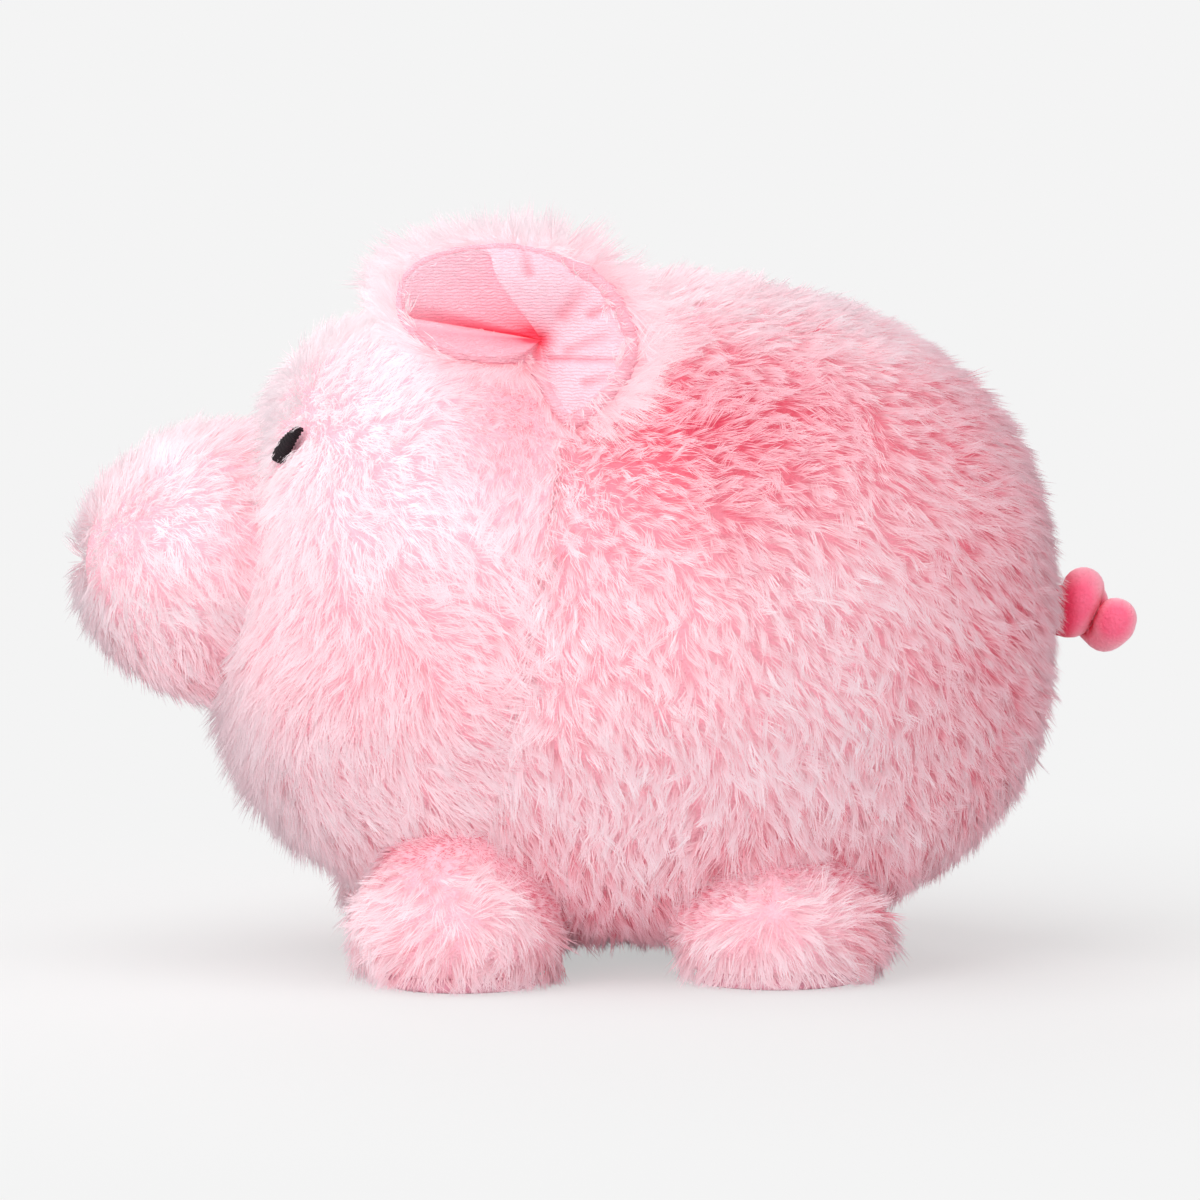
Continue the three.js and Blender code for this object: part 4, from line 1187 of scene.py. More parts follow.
class PIG_OT_ears(bpy.types.Operator):
    """Cupped ears: short-pile lining, furred back and rolled rim"""

    bl_idname = "pig.ears"
    bl_label = "Ears"

    # rim of the left ear from the front of its crease over the hood, in shares of the span
    rim = [
        EarPoint(-0.36, 0.28, 0.30), EarPoint(-0.35, 0.20, 0.47), EarPoint(-0.18, 0.18, 0.58),
        EarPoint(0.14, 0.20, 0.62), EarPoint(0.41, 0.24, 0.55), EarPoint(0.61, 0.30, 0.41),
        EarPoint(0.71, 0.36, 0.20), EarPoint(0.68, 0.38, 0.04), EarPoint(0.56, 0.36, -0.10),
        EarPoint(0.42, 0.28, -0.19), EarPoint(0.27, 0.18, 0.05), EarPoint(0.15, 0.34, 0.10),
        EarPoint(-0.08, 0.40, 0.12), EarPoint(-0.26, 0.36, 0.19),
    ]
    pocket = EarPoint(0.30, 0.05, 0.18)
    # places on the rim, counted in rim points
    lobe_edge = 2.67
    lobe_end = 9.6
    notch = 10.1  # between lobe and lip
    lip_span = (10.2, 11.0, 13.4, 13.9)  # the lip sets in, is full, fades and ends
    # creases of the lobe: ends back and up, half width and depth, in shares of the span
    creases = [
        ((0.34, 0.09), (0.69, 0.085), 0.018, 0.034), ((0.46, 0.52), (0.41, 0.62), 0.022, 0.034),
        ((0.53, 0.30), (0.66, 0.37), 0.024, 0.026), ((0.40, 0.30), (0.47, 0.40), 0.038, 0.022),
        ((0.24, 0.50), (0.22, 0.60), 0.022, 0.024), ((0.50, -0.02), (0.60, 0.01), 0.024, 0.018),
        ((0.42, 0.13), (0.58, 0.20), 0.028, 0.018),
    ]
    lining_thickness = 1.6 * MM
    back_thickness = 3.6 * MM
    roll_radius = 1.9 * MM
    # painted shade over the rolled seam
    roll_fold = 0.25
    roll_span = (3.2, 4.5, 9.4, 10.4)  # rim points where the roll sets in, is full, fades and is thin again
    fringe_span = (4 * MM, 12 * MM)  # distances from the rim over which the fringe ends
    fur_base = (0.006, 0.004, -0.004)  # what the fur lies away from: back, out and up from the seam's middle

    thicker = 2.5  # pile on the ear, against the body's
    # pile on the ear's back and fuzz on the rolled seam: length, lifts in degrees and facing kept
    coats = {"pile": (1.0, (28, 6), 0.25), "fuzz": (0.45, (45, 12), 0.7)}

    def execute(self, context):
        form = context.scene.pig_form
        for side, sign in SIDES.items():
            lining = self.add_lining(form, f"{side}_ear_lining", sign)
            back = self.add_back(form, f"{side}_ear_back", sign)
            roll = self.add_roll(form, f"{side}_ear", sign, lining)
            for piece in (lining, back, roll):
                piece.visible_shadow = False  # thin cloth lets light through
            self.add_fur(f"{side}_ear", sign, back, roll, lining)
        return {"FINISHED"}

    def middle(self, sign):
        """Middle of the ear's seam on the head."""
        x, y, z = joint_place("left_ear_flop")
        return np.array([x, sign * abs(y), z])

    def spline(self, values, at):
        """A closed smooth curve through values, one for each rim point."""
        values = np.asarray(values, float)
        count = len(values)
        first = np.floor(at).astype(int)
        t = (at - first)[:, None]
        p0, p1, p2, p3 = (values[(first + k) % count] for k in (-1, 0, 1, 2))
        square = 2 * p0 - 5 * p1 + 4 * p2 - p3
        cube = 3 * p1 - p0 - 3 * p2 + p3
        return 0.5 * (2 * p1 + (p2 - p0) * t + square * t**2 + cube * t**3)

    def parts(self, at):
        """How far each place belongs to the lobe, the lip and the crease between lip and hood."""
        lobe = smoothstep(at, self.lobe_edge - 0.14, self.lobe_edge + 0.14)
        lobe = lobe * (1 - smoothstep(at, self.lobe_end - 0.4, self.lobe_end + 0.4))
        lip = smoothstep(at, *self.lip_span[:2]) * (1 - smoothstep(at, *self.lip_span[2:]))
        crease = np.exp(-((np.minimum(at, len(self.rim) - at) / 0.35) ** 2))
        return lobe, lip, crease

    def cup(self, at, part):
        """Points of the cup in shares of the span: at runs round the rim, part from pocket to rim."""
        rim = self.spline(self.rim, at)
        pocket = np.array(self.pocket)
        lobe, lip, crease = self.parts(at)
        power = 1.9 - 1.35 * lobe - 1.0 * lip
        point = pocket + (rim - pocket) * part[:, None]
        point[:, 1] = pocket[1] + (rim[:, 1] - pocket[1]) * part**power
        point[:, 1] -= 0.10 * crease * 4 * part * (1 - part)
        return point

    def lined(self, at, part):
        """The cup with the lobe's edge drawn over the hollow, its swell and its creases."""
        arch = 4 * part * (1 - part)
        off = (at - self.lobe_edge) / 0.24
        fold = -2.33 * off * np.exp(-(off**2))
        point = self.cup((at + 0.34 * arch * fold) % len(self.rim), part)
        lobe, lip, _ = self.parts(at)
        straight = self.cup(at, part)
        point[:, 1] = straight[:, 1]
        near_edge = np.exp(-(((at - self.lobe_edge - 0.3) / 1.3) ** 2))
        point[:, 1] += arch * (0.085 * lobe * near_edge + 0.05 * lip)
        for _, groove in self.grooves(straight, lobe):
            point[:, 1] -= groove
        return point

    def grooves(self, point, lobe):
        """Each of the lobe's creases: its greatest depth and its depth at points of the cup."""
        for start, end, wide, deep in self.creases:
            start, end = np.array(start), np.array(end)
            flat = point[:, [0, 2]] - start
            run = end - start
            t = np.clip(flat @ run / (run @ run), 0, 1)
            away = np.linalg.norm(flat - t[:, None] * run, axis=1) / wide
            yield deep, lobe * deep * np.exp(-(away**2)) * (1 - 0.5 * t)

    def fold_shade(self, at, part):
        """Painted shade of the lining, from 0 to 1: deep in the crease by the hood, the pocket, the notch,
        the lip and the lobe's creases.
        """
        lobe, lip, _ = self.parts(at)
        hood = (1 - lobe) * (at < self.lobe_end)
        shade = hood * (np.exp(-at / 0.45) * (0.95 - 0.35 * part) + 0.8 * (1 - part) ** 2.6)
        shade += lip * (0.34 + 0.75 * np.exp(-(len(self.rim) - at) / 0.30) + 0.5 * (1 - part) ** 3)
        in_notch = np.exp(-(((at - self.notch) / 0.4) ** 2))
        shade += np.exp(-((part / 0.13) ** 2)) + in_notch * (0.9 - 0.6 * part)
        for deep, groove in self.grooves(self.cup(at, part), lobe):
            shade += 0.40 * groove / deep
        return np.clip(shade, 0, 1)

    def placed(self, form, sign, points):
        return self.middle(sign) + np.array([1, sign, 1]) * form.ear_span * points

    def behind(self, at, part):
        """The way out of the cup's back, in the ear's own axes."""
        step = 1e-3
        inner = np.clip(part, 2 * step, 1 - 2 * step)
        count = len(self.rim)
        run = self.cup((at + step) % count, inner) - self.cup((at - step) % count, inner)
        rise = self.cup(at, inner + step) - self.cup(at, inner - step)
        normal = unit(np.cross(run, rise))
        normal = np.where(normal[:, 1:2] > 0, -normal, normal)
        return unit(0.4 * normal + np.array([0, -1, 0]))

    def surface(self, form, sign, at, part, depth):
        """Points at a depth behind the cup."""
        depth = np.broadcast_to(depth, at.shape)[:, None]
        points = self.cup(at, part) + self.behind(at, part) * depth / form.ear_span
        return self.placed(form, sign, points)

    def round_and_part(self, lat, turn):
        """Places of a ball's points on the cup: round the rim and from pocket to rim."""
        return (turn / (2 * math.pi) % 1) * len(self.rim), 1 - np.abs(lat) / (math.pi / 2)

    def rounded(self, part):
        """Share of a layer's thickness, which runs out at the rim."""
        return np.minimum(1, (1 - part) * 6) ** 0.5

    def add_layer(self, name, ball, shade_of, material, slot):
        """A closed padded layer of the ear, with painted shade in its folds."""
        bm, (lat, turn) = ball
        mesh = smooth(collect(bm, name + "_piece"))
        paint_fold_shade(mesh, shade_of(*self.round_and_part(lat, turn)))
        piece = add_piece(mesh.name, mesh, material, name.rsplit("_", 1)[0], (name,))
        return piece

    def add_lining(self, form, name, sign):
        """A layer whose front is creased."""

        def place_of(lat, turn):
            at, part = self.round_and_part(lat, turn)
            front = self.placed(form, sign, self.lined(at, part))
            rear = self.surface(form, sign, at, part, self.lining_thickness * self.rounded(part))
            return np.where((lat >= 0)[:, None], front, rear)

        ball = mapped_ball(252, 72, place_of)
        return self.add_layer(name, ball, self.fold_shade, lining_material(), "ear_lining")

    def add_back(self, form, name, sign):
        """A layer behind the lining, with painted shade at the notch."""
        near = self.lining_thickness + 0.2 * MM

        def place_of(lat, turn):
            at, part = self.round_and_part(lat, turn)
            depth = near + self.back_thickness * np.where(lat > 0, 0, self.rounded(part))
            return self.surface(form, sign, at, part, depth)

        def notch_shade(at, _):
            return np.exp(-(((at - self.notch) / 0.6) ** 2))

        return self.add_layer(name, mapped_ball(168, 64, place_of), notch_shade, backing_material(), "plush")

    def add_roll(self, form, name, sign, lining):
        """The rolled seam along the rim, fullest along the lobe."""
        at = np.linspace(0, len(self.rim), 240, endpoint=False)
        points = self.surface(form, sign, at, np.ones(len(at)), 0.8 * self.lining_thickness)
        full = smoothstep(at, *self.roll_span[:2]) * (1 - smoothstep(at, *self.roll_span[2:]))
        full = 0.55 + 0.45 * full
        swells = full * (1 + 0.10 * np.sin(at * 9.0) + 0.06 * np.sin(at * 23.0))
        mesh = swept(name + "_rim_roll", [(points, self.roll_radius * swells)], closed=True, roundness=3)
        # painted shade over the whole roll
        paint_fold_shade(mesh, np.full(len(mesh.vertices), self.roll_fold))
        return add_piece(mesh.name, mesh, lining_material(), lining)

    def add_fur(self, name, sign, back, roll, lining):
        """Long pile on the ear's back that frames the rim, and fuzz on the rolled seam."""
        pile = bpy.context.scene.pig_pile
        rng = np.random.default_rng(SEED + (sign > 0))
        front = np.array([0, sign, 0])
        base = self.middle(sign) + np.array([1, sign, 1]) * self.fur_base
        cover = surface_tree(lining)
        edge = kdtree.KDTree(len(roll.data.vertices))
        for k, vert in enumerate(roll.data.vertices):
            edge.insert(vert.co, k)
        edge.balance()
        for piece, (part, (size, lifts, facing)) in zip((back, roll), self.coats.items()):
            roots, outward = roots_on(piece, pile.density * self.thicker, rng)
            centre = roots.mean(axis=0)
            keep = (outward @ front) < facing
            roots, outward = roots[keep], outward[keep]
            radial = unit(roots - centre)
            flow = radial + unit(roots - base) * 0.4 + 0.15 * front
            coat = coat_of(size * pile.ear, pile.tuft, *lifts, 0.4, 12)
            long = 1 + 0.35 * smoothstep(radial[:, 0], 0.1, 0.7)
            middles, tips, tuft = comb(roots, outward, flow, coat, rng, long)
            flat = unit((roots - centre)[:, [0, 2]])
            low = smoothstep(-flat[:, 1], -0.1, 0.5)
            # painted shade: the pile deepens on the ear's low side under the lip, and towards the ear's rear
            # edge
            tint = 0.12 + 0.5 * low * (flat[:, 0] < 0.5) + 0.25 * smoothstep(flat[:, 0], 0.3, 0.8)
            tint += 0.06 * rng.normal(size=tuft.max() + 1)[tuft]
            from_rim = np.array([edge.find(p)[2] for p in roots])
            fringe = 1 - smoothstep(from_rim, *self.fringe_span)[:, None]
            inner = self.light_behind(part, outward, sign)
            lit = unit((1 - fringe) * inner + fringe * self.rim_light(low, front))
            strands = Strands(roots, lit, middles, tips, tint)
            add_pile(f"{name}_{part}", strands, ~crosses(cover, roots, tips), piece, rng)

    def light_behind(self, part, outward, sign):
        """Ways that strands on the ear's back face for the light: up and in, or it would look grey."""
        return unit(outward + (part == "pile") * np.array([0, -0.8 * sign, 1.4]))

    def rim_light(self, low, front):
        """Ways that strands round the rim face for the light: up on top, out at the low end."""
        up = np.array([0, 0, 1]) * (1 - 0.8 * low)[:, None]
        return unit(up + front * (0.2 + 0.8 * low)[:, None])


class PIG_OT_pile(bpy.types.Operator):
    """Long pile of torso, head, snout and legs"""

    bl_idname = "pig.pile"
    bl_label = "Long pile"

    # lifts at root and tip, pull into tufts and scatter of each part's coat, angles in degrees
    coats = {
        "torso": (56, 20, 0.75, 26), "head": (54, 18, 0.18, 17),
        "snout": (56, 22, 0.25, 20), "leg": (54, 18, 0.6, 22),
    }
    covered = 4 * MM  # depth inside another part at which no pile grows
    neck_cover = 0.8 * MM
    tail_seat = 5 * MM
    trim_margin = 4 * MM

    # places in metres where the pile changes
    rump_x = 0.09  # only ahead of it is pile on inner walls looked for
    rump_turn = (0.06, 0.11)
    rump_lift = (0.075, 0.11)
    tail_shelter = (0.008, 0.018)  # distances from the tail's root
    chin_reach = (0.060, 0.085)  # ahead of the middle
    chin_heights = (0.065, 0.085)
    ear_shelter = 0.020
    snout_seam = 0.003
    snout_root = (-0.105, -0.088)
    snout_front = -0.11
    whorl_ahead, whorl_height = 0.004, 0.016  # the point on a leg that its pile spreads from
    leg_bulge = 0.017  # height at which a leg's pile lies least steep
    leg_bulge_reach = (0.004, 0.014)
    leg_top = (0.026, 0.042)

    def execute(self, context):
        form, pile = context.scene.pig_form, context.scene.pig_pile
        rng = np.random.default_rng(SEED + 2)
        self.add_torso(form, pile, rng)
        self.add_head(form, pile, rng)
        self.add_snout(form, pile, rng)
        for leg in leg_values(form):
            self.add_leg(form, pile, leg, rng)
        return {"FINISHED"}

    def coat(self, pile, part):
        return coat_of(getattr(pile, part), pile.tuft, *self.coats[part])

    def clear_of_limbs(self, form, roots):
        hidden = in_snout(form, roots, self.covered)
        for leg in leg_values(form):
            hidden |= in_leg(form, roots, leg, self.covered)
        return ~hidden

    def near_legs(self, form, roots):
        """How close above a leg roots grow, from 0 to 1."""
        near = np.zeros(len(roots))
        for leg in leg_values(form):
            steps = [in_leg(form, roots, leg, -reach * MM) for reach in (4, 6, 8, 10, 12, 14)]
            near = np.maximum(near, np.mean(steps, axis=0))
        return near

    def trunk_flow(self, form, roots):
        """The way the pile lies on the trunk: back along the spine, down the flanks."""
        height = (roots[:, 2] - form.girth_z) / form.back_rise
        droop = np.interp(height, [-0.9, -0.3, 0.2, 0.6, 0.95], np.radians([85, 75, 50, 28, 12]))
        rear = smoothstep(roots[:, 0], *self.rump_turn)
        droop = droop + (math.radians(60) - droop) * rear * (height < 0.7)
        beside = np.tanh(roots[:, 1] / 0.03) * 0.25 * np.clip(height, 0, 1)
        return np.stack([np.cos(droop), beside, -np.sin(droop)], axis=-1)

    def slot_and_port(self, roots, tips):
        """Strands that grow in the slot or the port, and those that hang over them."""
        low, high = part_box("slot_bezel")
        middle, reach = (low + high) / 2, (high - low) / 2
        end = reach.x - reach.y

        def over_slot(p, grow):
            run = np.maximum(np.abs(p[:, 0] - middle.x) - end, 0)
            return (np.hypot(run, p[:, 1]) < reach.y + grow) & (p[:, 2] > low.z)

        port_low, port_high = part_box("port_collar")
        port = (port_low + port_high) / 2
        radius = (port_high.x - port_low.x) / 2

        def over_port(p, grow):
            return (np.hypot(p[:, 0] - port.x, p[:, 1]) < radius + grow) & (p[:, 2] < port_high.z)

        grown = over_slot(roots, 1 * MM) | over_port(roots, 1 * MM)
        hung = over_slot(tips, -1 * MM) | over_port(tips, 0)
        return grown, hung

    def add_torso(self, form, pile, rng):
        skin = bpy.data.objects["torso_skin"]
        roots, outward = roots_on(skin, pile.density, rng)
        tail_low, tail_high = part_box("tail")
        root = np.array([tail_low.x, 0, (tail_low.z + tail_high.z) / 2])
        inner = in_trunk(form, roots, pile.inset + self.neck_cover) & (roots[:, 0] < self.rump_x)
        from_tail = np.linalg.norm(roots - root, axis=1)
        keep = self.clear_of_limbs(form, roots) & ~inner & (from_tail > self.tail_seat)
        roots, outward, from_tail = roots[keep], outward[keep], from_tail[keep]
        flow = wandering(self.trunk_flow(form, roots), roots, outward, 16, 0.045, rng)
        rear = smoothstep(roots[:, 0], *self.rump_lift)
        over_legs = self.near_legs(form, roots)
        round_tail = 1 - smoothstep(from_tail, *self.tail_shelter)
        long = 1 + 0.08 * ripple(roots, 0.03, rng) + 0.1 * rear + 0.35 * over_legs - 0.3 * round_tail
        coat = self.coat(pile, "torso")
        middles, tips, tuft = comb(roots, outward, flow, coat, rng, long, math.radians(4) * rear)
        grown, hung = self.slot_and_port(roots, tips)
        shorten(roots, middles, tips, hung, 0.45)
        # painted shade: the pile deepens on the underside and in the creases over the legs
        tint = trunk_tint(form, roots) + 0.5 * smoothstep(-outward[:, 2], 0.6, 0.98) + 0.28 * over_legs
        tint += mottle(roots, tuft, 0.15, 0.05, 0.02, rng)
        strands = Strands(roots, outward, middles, tips, tint)
        levels = np.quantile(roots[:, 2], [0, 1 / 3, 2 / 3, 1])
        for side, sign in SIDES.items():
            for part, low, high in zip(("belly", "flank", "back"), levels[:-1], levels[1:]):
                inside = (roots[:, 2] >= low) & ((roots[:, 2] < high) | (part == "back"))
                inside &= (roots[:, 1] < 0) == (sign < 0)
                add_pile(f"torso_{side}_{part}_pile", strands, inside & ~grown, skin, rng)

    def add_head(self, form, pile, rng):
        skin = bpy.data.objects["head_skin"]
        roots, outward = roots_on(skin, pile.density, rng)
        keep = self.clear_of_limbs(form, roots) & ~in_trunk(form, roots, pile.inset + self.neck_cover)
        roots, outward = roots[keep], outward[keep]
        height = (roots[:, 2] - form.girth_z) / form.crown_rise
        droop = np.interp(height, [-0.9, 0.0, 0.5, 0.8, 1.0], np.radians([50, 55, 75, 40, 5]))
        flow = np.stack([np.cos(droop), 0.2 * np.tanh(roots[:, 1] / 0.02), -np.sin(droop)], axis=-1)
        flow = wandering(flow, roots, outward, 32, 0.05, rng)
        coat = self.coat(pile, "head")
        chin = smoothstep(-roots[:, 0], *self.chin_reach) * falling(roots[:, 2], *self.chin_heights)
        middles, tips, tuft = comb(roots, outward, flow, coat, rng, 1 + 0.4 * chin, math.radians(10) * chin)
        for side, sign in SIDES.items():
            self.clear_eye(form, sign, roots, middles, tips, rng)
            self.clear_ear(side, roots, middles, tips)
        # painted shade: the pile deepens on the underside and in the shadow under the ears
        tint = trunk_tint(form, roots) + 0.35 * smoothstep(-outward[:, 2], 0.6, 0.98)
        tint += 0.7 * self.under_ears(roots)
        tint += mottle(roots, tuft, 0.07, 0.03, 0.02, rng)
        strands = Strands(roots, outward, middles, tips, tint)
        middle = np.median(roots[:, 2])
        for side, sign in SIDES.items():
            beside = (roots[:, 1] < 0) == (sign < 0)
            add_pile(f"head_{side}_upper_pile", strands, beside & (roots[:, 2] >= middle), skin, rng)
            add_pile(f"head_{side}_lower_pile", strands, beside & (roots[:, 2] < middle), skin, rng)

    def under_ears(self, roots):
        """How far roots lie in the shadow of an ear, from 0 to 1, for painted shadow."""
        near = np.zeros(len(roots))
        for side in SIDES:
            low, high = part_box(f"{side}_ear_back")
            shadowed = np.array([(low.x + high.x) / 2, (low.y + high.y) / 2, low.z])
            near += np.exp(-np.sum(((roots - shadowed) / self.ear_shelter) ** 2, axis=1))
        return np.minimum(near, 1)

    def clear_eye(self, form, sign, roots, middles, tips, rng):
        """Trims the pile off the stitched eye."""
        place, out, along, across = (np.array(v) for v in eye_axes(form, sign))
        half_width, half_length = form.eye_size

        def over(points, grow):
            local = points - place
            a = local @ across / (half_width * grow)
            b = local @ along / (half_length * grow)
            return (a * a + b * b < 1) & (np.abs(local @ out) < 0.02)

        shorten(roots, middles, tips, over(roots, 1.15), 0.05)
        shorten(roots, middles, tips, over(tips, 1.05) & (rng.random(len(tips)) < 0.86), 0.35)

    def clear_ear(self, side, roots, middles, tips):
        """Trims the pile that would reach into an ear."""
        ear = bpy.data.objects[f"{side}_ear_back_piece"]
        places = vertex_values(ear.data, "co")
        low, high = places.min(axis=0) - self.trim_margin, places.max(axis=0) + self.trim_margin
        near = np.all((tips > low) & (tips < high), axis=1)
        blocked = near.copy()
        blocked[near] = crosses(surface_tree(ear), roots[near], tips[near], 1 * MM)
        shorten(roots, middles, tips, blocked, 0.5)

    def add_snout(self, form, pile, rng):
        skin = bpy.data.objects["snout_skin"]
        roots, outward = roots_on(skin, pile.density, rng)
        keep = ~in_trunk(form, roots, self.covered) & (roots[:, 0] < form.snout_root_x + 0.02)
        roots, outward = roots[keep], outward[keep]
        radial = roots - np.array(snout_centre(form))
        radial[:, 0] = 0
        flow = wandering(unit(radial) + np.array([0.5, 0, -0.55]), roots, outward, 28, 0.03, rng)
        middles, tips, tuft = comb(roots, outward, flow, self.coat(pile, "snout"), rng)
        seam = np.exp(-(((roots[:, 0] - form.snout_seam_x) / self.snout_seam) ** 2))
        shorten(roots, middles, tips, rng.random(len(roots)) < seam * 0.7, 0.55)
        self.clear_nostrils(roots, middles, tips)
        # painted shade: the pile deepens towards the snout's root and on its underside
        tint = 0.16 + 0.25 * smoothstep(roots[:, 0], *self.snout_root)
        tint += 0.40 * smoothstep(-outward[:, 2], 0.15, 0.9)
        tint += mottle(roots, tuft, 0.08, 0.06, 0.015, rng)
        strands = Strands(roots, outward, middles, tips, tint)
        add_pile("snout_pile", strands, np.ones(len(roots), bool), skin, rng)

    def clear_nostrils(self, roots, middles, tips):
        for side in SIDES:
            low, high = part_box(f"{side}_nostril")
            middle, reach = (low + high) / 2, (high - low) / 2
            for points, grow, left in ((roots, 1.1, 0.05), (tips, 1.0, 0.3)):
                a = (points[:, 1] - middle.y) / (reach.y * grow)
                b = (points[:, 2] - middle.z) / (reach.z * grow)
                over = (a * a + b * b < 1) & (points[:, 0] < self.snout_front)
                shorten(roots, middles, tips, over, left)

    def add_leg(self, form, pile, leg, rng):
        name, x, y, _, half_width, _ = leg
        skin = bpy.data.objects[f"{name}_leg_skin"]
        roots, outward = roots_on(skin, pile.density, rng)
        floor = roots[:, 2].min()
        keep = ~in_trunk(form, roots, 3 * MM) & ((roots[:, 2] > floor + 0.3 * MM) | (outward[:, 2] > -0.5))
        roots, outward = roots[keep], outward[keep]
        whorl = np.array([x - self.whorl_ahead, y + math.copysign(half_width, y), self.whorl_height])
        radial = unit(roots - whorl)
        down = 0.4 + 0.6 * smoothstep(np.abs(roots[:, 2] - self.leg_bulge), *self.leg_bulge_reach)
        flow = 0.45 * radial + down[:, None] * np.array([0, 0, -1])
        flow = wandering(flow, roots, outward, 40, 0.018, rng)
        middles, tips, tuft = comb(roots, outward, flow, self.coat(pile, "leg"), rng)
        shorten(roots, middles, tips, in_trunk(form, roots, -9 * MM), 0.4)
        # painted shade: the leg's pile deepens towards its top, on its rear side and in the crease under the
        # trunk
        tint = 0.42 + 0.4 * smoothstep(roots[:, 2], *self.leg_top)
        tint += 0.35 * smoothstep(outward[:, 0], 0.2, 0.9)
        tint += mottle(roots, tuft, 0.14, 0.06, 0.02, rng)
        crease = np.mean([in_trunk(form, roots, -reach * MM) for reach in (3, 5, 7, 9)], axis=0)
        strands = Strands(roots, outward, middles, tips, tint + 0.45 * crease)
        add_pile(f"{name}_leg_pile", strands, np.ones(len(roots), bool), skin, rng)


class PIG_OT_stitches(bpy.types.Operator):
    """Satin-stitched eyes and nostrils"""

    bl_idname = "pig.stitches"
    bl_label = "Eyes and nostrils"

    thread = 0.30 * MM  # radius
    row_gap = 1.55  # from row to row, in thread radii
    taper = 0.45
    dome = 1.5 * MM
    tuck = 1.4 * MM  # how deep a row's ends go into the cloth
    lay = 0.12 * MM  # rows lie higher and lower in turn
    nostril_depth = 4.3 * MM

    def execute(self, context):
        form = context.scene.pig_form
        for side, sign in SIDES.items():
            _, out, along, across = eye_axes(form, sign)
            self.add_pad(f"{side}_eye", (out, along, across), form.eye_size, "eye", "eye_thread", 0.0)
            low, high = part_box(f"{side}_nostril")
            size = ((high.y - low.y) / 2, (high.z - low.z) / 2)
            axes = Vector((-1, 0, 0)), Vector((0, 0, 1)), Vector((0, -1, 0))
            self.add_pad(f"{side}_nostril", axes, size, "nostril", "nostril_thread", self.nostril_depth)
        return {"FINISHED"}

    def add_pad(self, node, axes, size, shade, slot, sunk):
        """Rows of thread laid side by side over a drop shape, each end tucked into the cloth."""
        out, row, run = axes
        low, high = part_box(node)
        centre = (low + high) / 2 - out * sunk
        rows = int(2 * max(size) / (self.row_gap * self.thread))
        steps = np.linspace(-1, 1, 7)
        paths = []
        for k in range(rows):
            level = (k + 0.5) / rows * 2 - 1
            reach = math.sqrt(1 - level * level) * (1 - self.taper * level)
            points = []
            for step in steps:
                flat = row * (level * size[1]) + run * (step * reach * size[0])
                dome = self.dome * math.sqrt(max(0.0, 1 - 0.75 * level**2 - 0.6 * step**2 * reach**2))
                tuck = self.tuck * abs(step) ** 6
                points.append(centre + flat + out * (dome - tuck + self.lay * (-1) ** k))
            paths.append((np.array(points), np.full(len(steps), self.thread)))
        mesh = swept(node + "_stitches", paths, roundness=1)
        add_piece(mesh.name, mesh, thread_material(shade), "pig", (node,))


class PIG_OT_tail(bpy.types.Operator):
    """Curled velour tail"""

    bl_idname = "pig.tail"
    bl_label = "Tail"

    stem = np.array([[-14 * MM, 0, 0], [-7 * MM, 0, 0]])  # points of the part in the rump
    root_shade = 4 * MM  # how far painted shade from the rump darkens the tail
    fold_reach = 7 * MM

    def execute(self, context):
        form = context.scene.pig_form
        root_x = form.girth_x + form.rear_reach + form.tail_standoff
        root = np.array([root_x, 0, joint_place("tail_wag")[2]])
        t = np.linspace(0, 1, 120)
        turn = 2 * math.pi * form.tail_turns * t - math.pi / 2
        radius = form.tail_curl * smoothstep(t, 0, 0.45)
        path = np.stack([
            form.tail_pitch * form.tail_turns * t,
            -radius * np.cos(turn),
            radius * np.sin(turn),
        ], axis=-1) + root
        along = unit(np.gradient(path, axis=0))
        rounding = np.linspace(1, 0.02, 9)
        path = np.concatenate([path[0] + self.stem, path])
        along = np.concatenate([along[:1], along[:1], along])
        t = np.concatenate([[0, 0], t])
        start = path[0] - along[0] * form.tail_radius * rounding[:, None]
        end = path[-1] + along[-1] * form.tail_radius * rounding[::-1, None]
        cap = np.maximum(np.sqrt(1 - rounding**2), 0.03)
        body = 1.22 - 0.25 * smoothstep(t, 0.05, 0.4) + 0.05 * np.sin(t * 21.0) + 0.03 * np.sin(t * 47.0)
        points = np.concatenate([start, path, end])
        radii = form.tail_radius * np.concatenate([cap * body[0], body, cap[::-1] * body[-1]])
        mesh = swept("tail_curl", [(points, radii)], roundness=9)
        # velour with a strong painted sheen along its edges
        velour = folded_material("velour", 0.0, 0.85)
        piece = add_piece(mesh.name, mesh, velour, "tail", ("tail",))
        # painted shade: the tail darkens near the rump and deep in its curl
        at_root = 1 - smoothstep(vertex_values(mesh, "co")[:, 0], root_x, root_x + self.root_shade)
        paint_fold_shade(mesh, np.clip(self.fold_depth(piece) + 0.8 * at_root, 0, 1))
        return {"FINISHED"}

    def fold_depth(self, piece):
        """Painted shade in the curl's folds: how close each point faces another part of the curl, from 0 to
        1.
        """
        tree = surface_tree(piece)
        depth = []
        for vert in piece.data.vertices:
            side = vert.normal.orthogonal().normalized()
            total = 0.0
            for k in range(6):
                tilt = Matrix.Rotation(k * math.pi / 3, 3, vert.normal) @ side
                way = (vert.normal + 0.8 * tilt).normalized()
                away = tree.ray_cast(vert.co + vert.normal * 0.1 * MM, way, self.fold_reach)[3]
                total += 0 if away is None else 1 - away / self.fold_reach
            depth.append(total / 6 * 1.5)
        return np.array(depth)


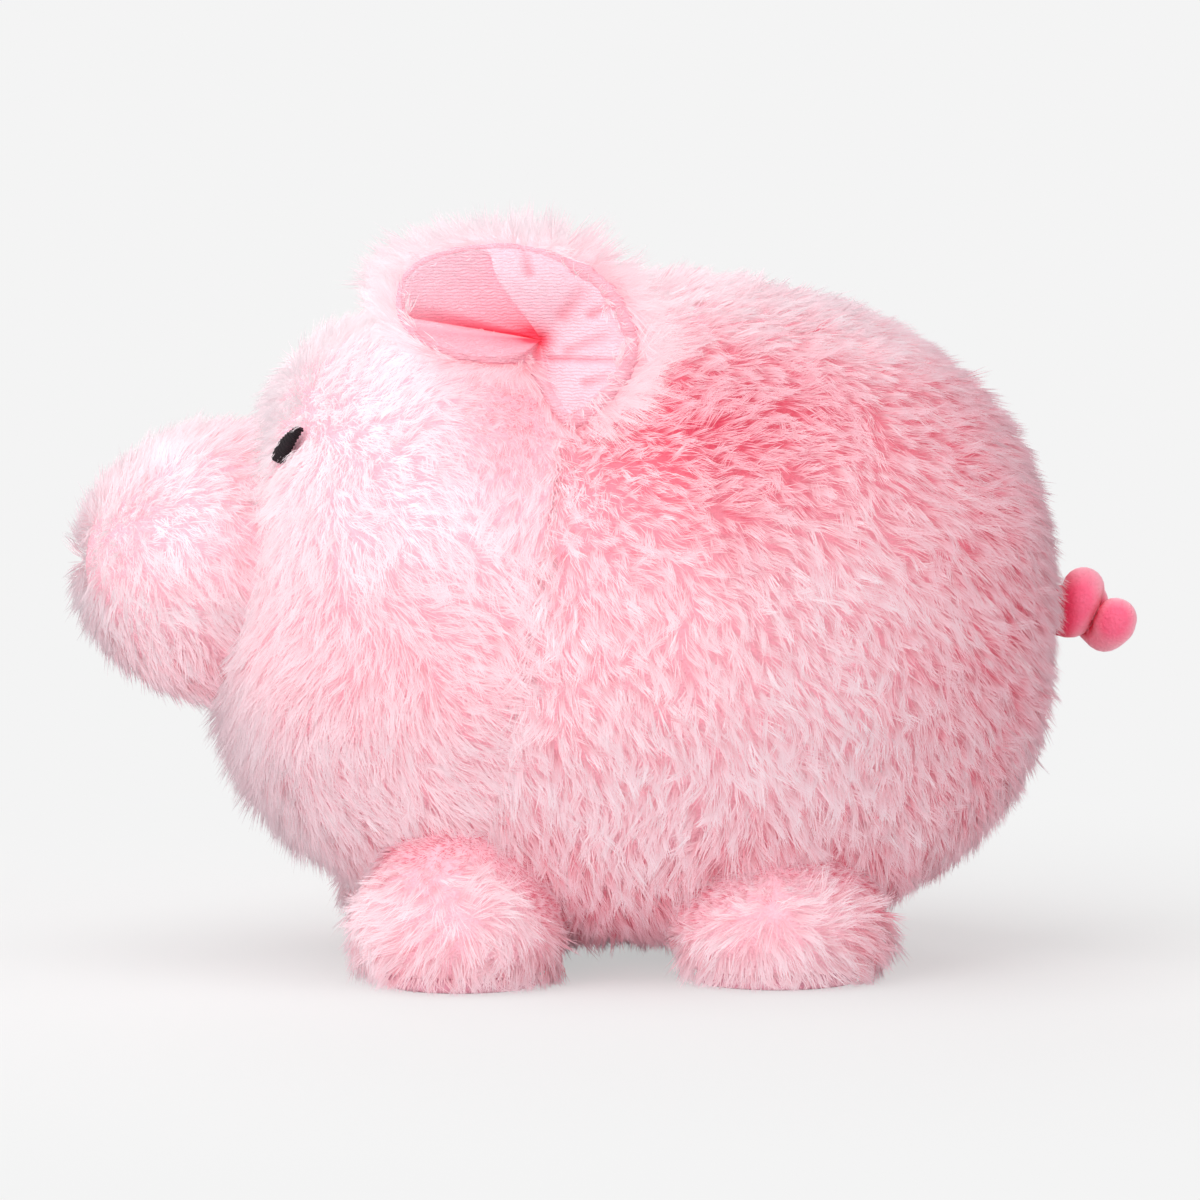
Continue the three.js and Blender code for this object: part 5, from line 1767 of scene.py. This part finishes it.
class PIG_OT_fittings(bpy.types.Operator):
    """Coin slot, coin box and emptying port"""

    bl_idname = "pig.fittings"
    bl_label = "Slot, box and port"

    finishes = {
        "slot_bezel": ("trim", 0.35), "port_collar": ("trim", 0.35),
        "port_lock_ring": ("moulding", 0.45), "coin_chute": ("moulding", 0.45),
        "coin_box_lid": ("moulding", 0.45), "coin_box_tub": ("moulding", 0.45),
        "port_stopper": ("rubber", 0.6),
    }
    weld_gap = 0.01 * MM
    edge_width = 0.35 * MM
    edge_angle = math.radians(40)

    def execute(self, context):
        for node, (shade, roughness) in self.finishes.items():
            piece = frame["nodes"][node]
            piece.data.materials.clear()
            piece.data.materials.append(moulded_material(shade, roughness))
            weld = piece.modifiers.new("weld", "WELD")
            weld.merge_threshold = self.weld_gap
            edge = piece.modifiers.new("soft_edge", "BEVEL")
            edge.width = self.edge_width
            edge.segments = 2
            edge.limit_method = "ANGLE"
            edge.angle_limit = self.edge_angle
        return {"FINISHED"}


class PIG_PT_pieces(bpy.types.Panel):
    """Makers of the pig's pieces"""

    bl_label = "Piggy Bank"
    bl_idname = "PIG_PT_pieces"
    bl_space_type = "VIEW_3D"
    bl_region_type = "UI"
    bl_category = "Piggy Bank"

    def draw(self, context):
        for operator in OPERATORS:
            self.layout.operator(operator.bl_idname)


GROUPS = {"pig_form": PigForm, "pig_pile": PigPile, "pig_colours": PigColours, "pig_stage": PigStage}
OPERATORS = (
    PIG_OT_stage, PIG_OT_skins, PIG_OT_ears, PIG_OT_pile, PIG_OT_stitches, PIG_OT_tail, PIG_OT_fittings,
)


def register():
    for name, group in GROUPS.items():
        bpy.utils.register_class(group)
        setattr(bpy.types.Scene, name, PointerProperty(type=group))
    for operator in OPERATORS:
        bpy.utils.register_class(operator)
    bpy.utils.register_class(PIG_PT_pieces)


def unregister():
    bpy.utils.unregister_class(PIG_PT_pieces)
    for operator in reversed(OPERATORS):
        bpy.utils.unregister_class(operator)
    for name, group in GROUPS.items():
        delattr(bpy.types.Scene, name)
        bpy.utils.unregister_class(group)


def main():
    register()
    for operator in OPERATORS:
        group, name = operator.bl_idname.split(".")
        getattr(getattr(bpy.ops, group), name)()
    boxes = {"cad": cad_box, "visual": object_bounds()}
    {name: [list(corner) for corner in box] for name, box in boxes.items()}


if __name__ == "__main__":
    main()
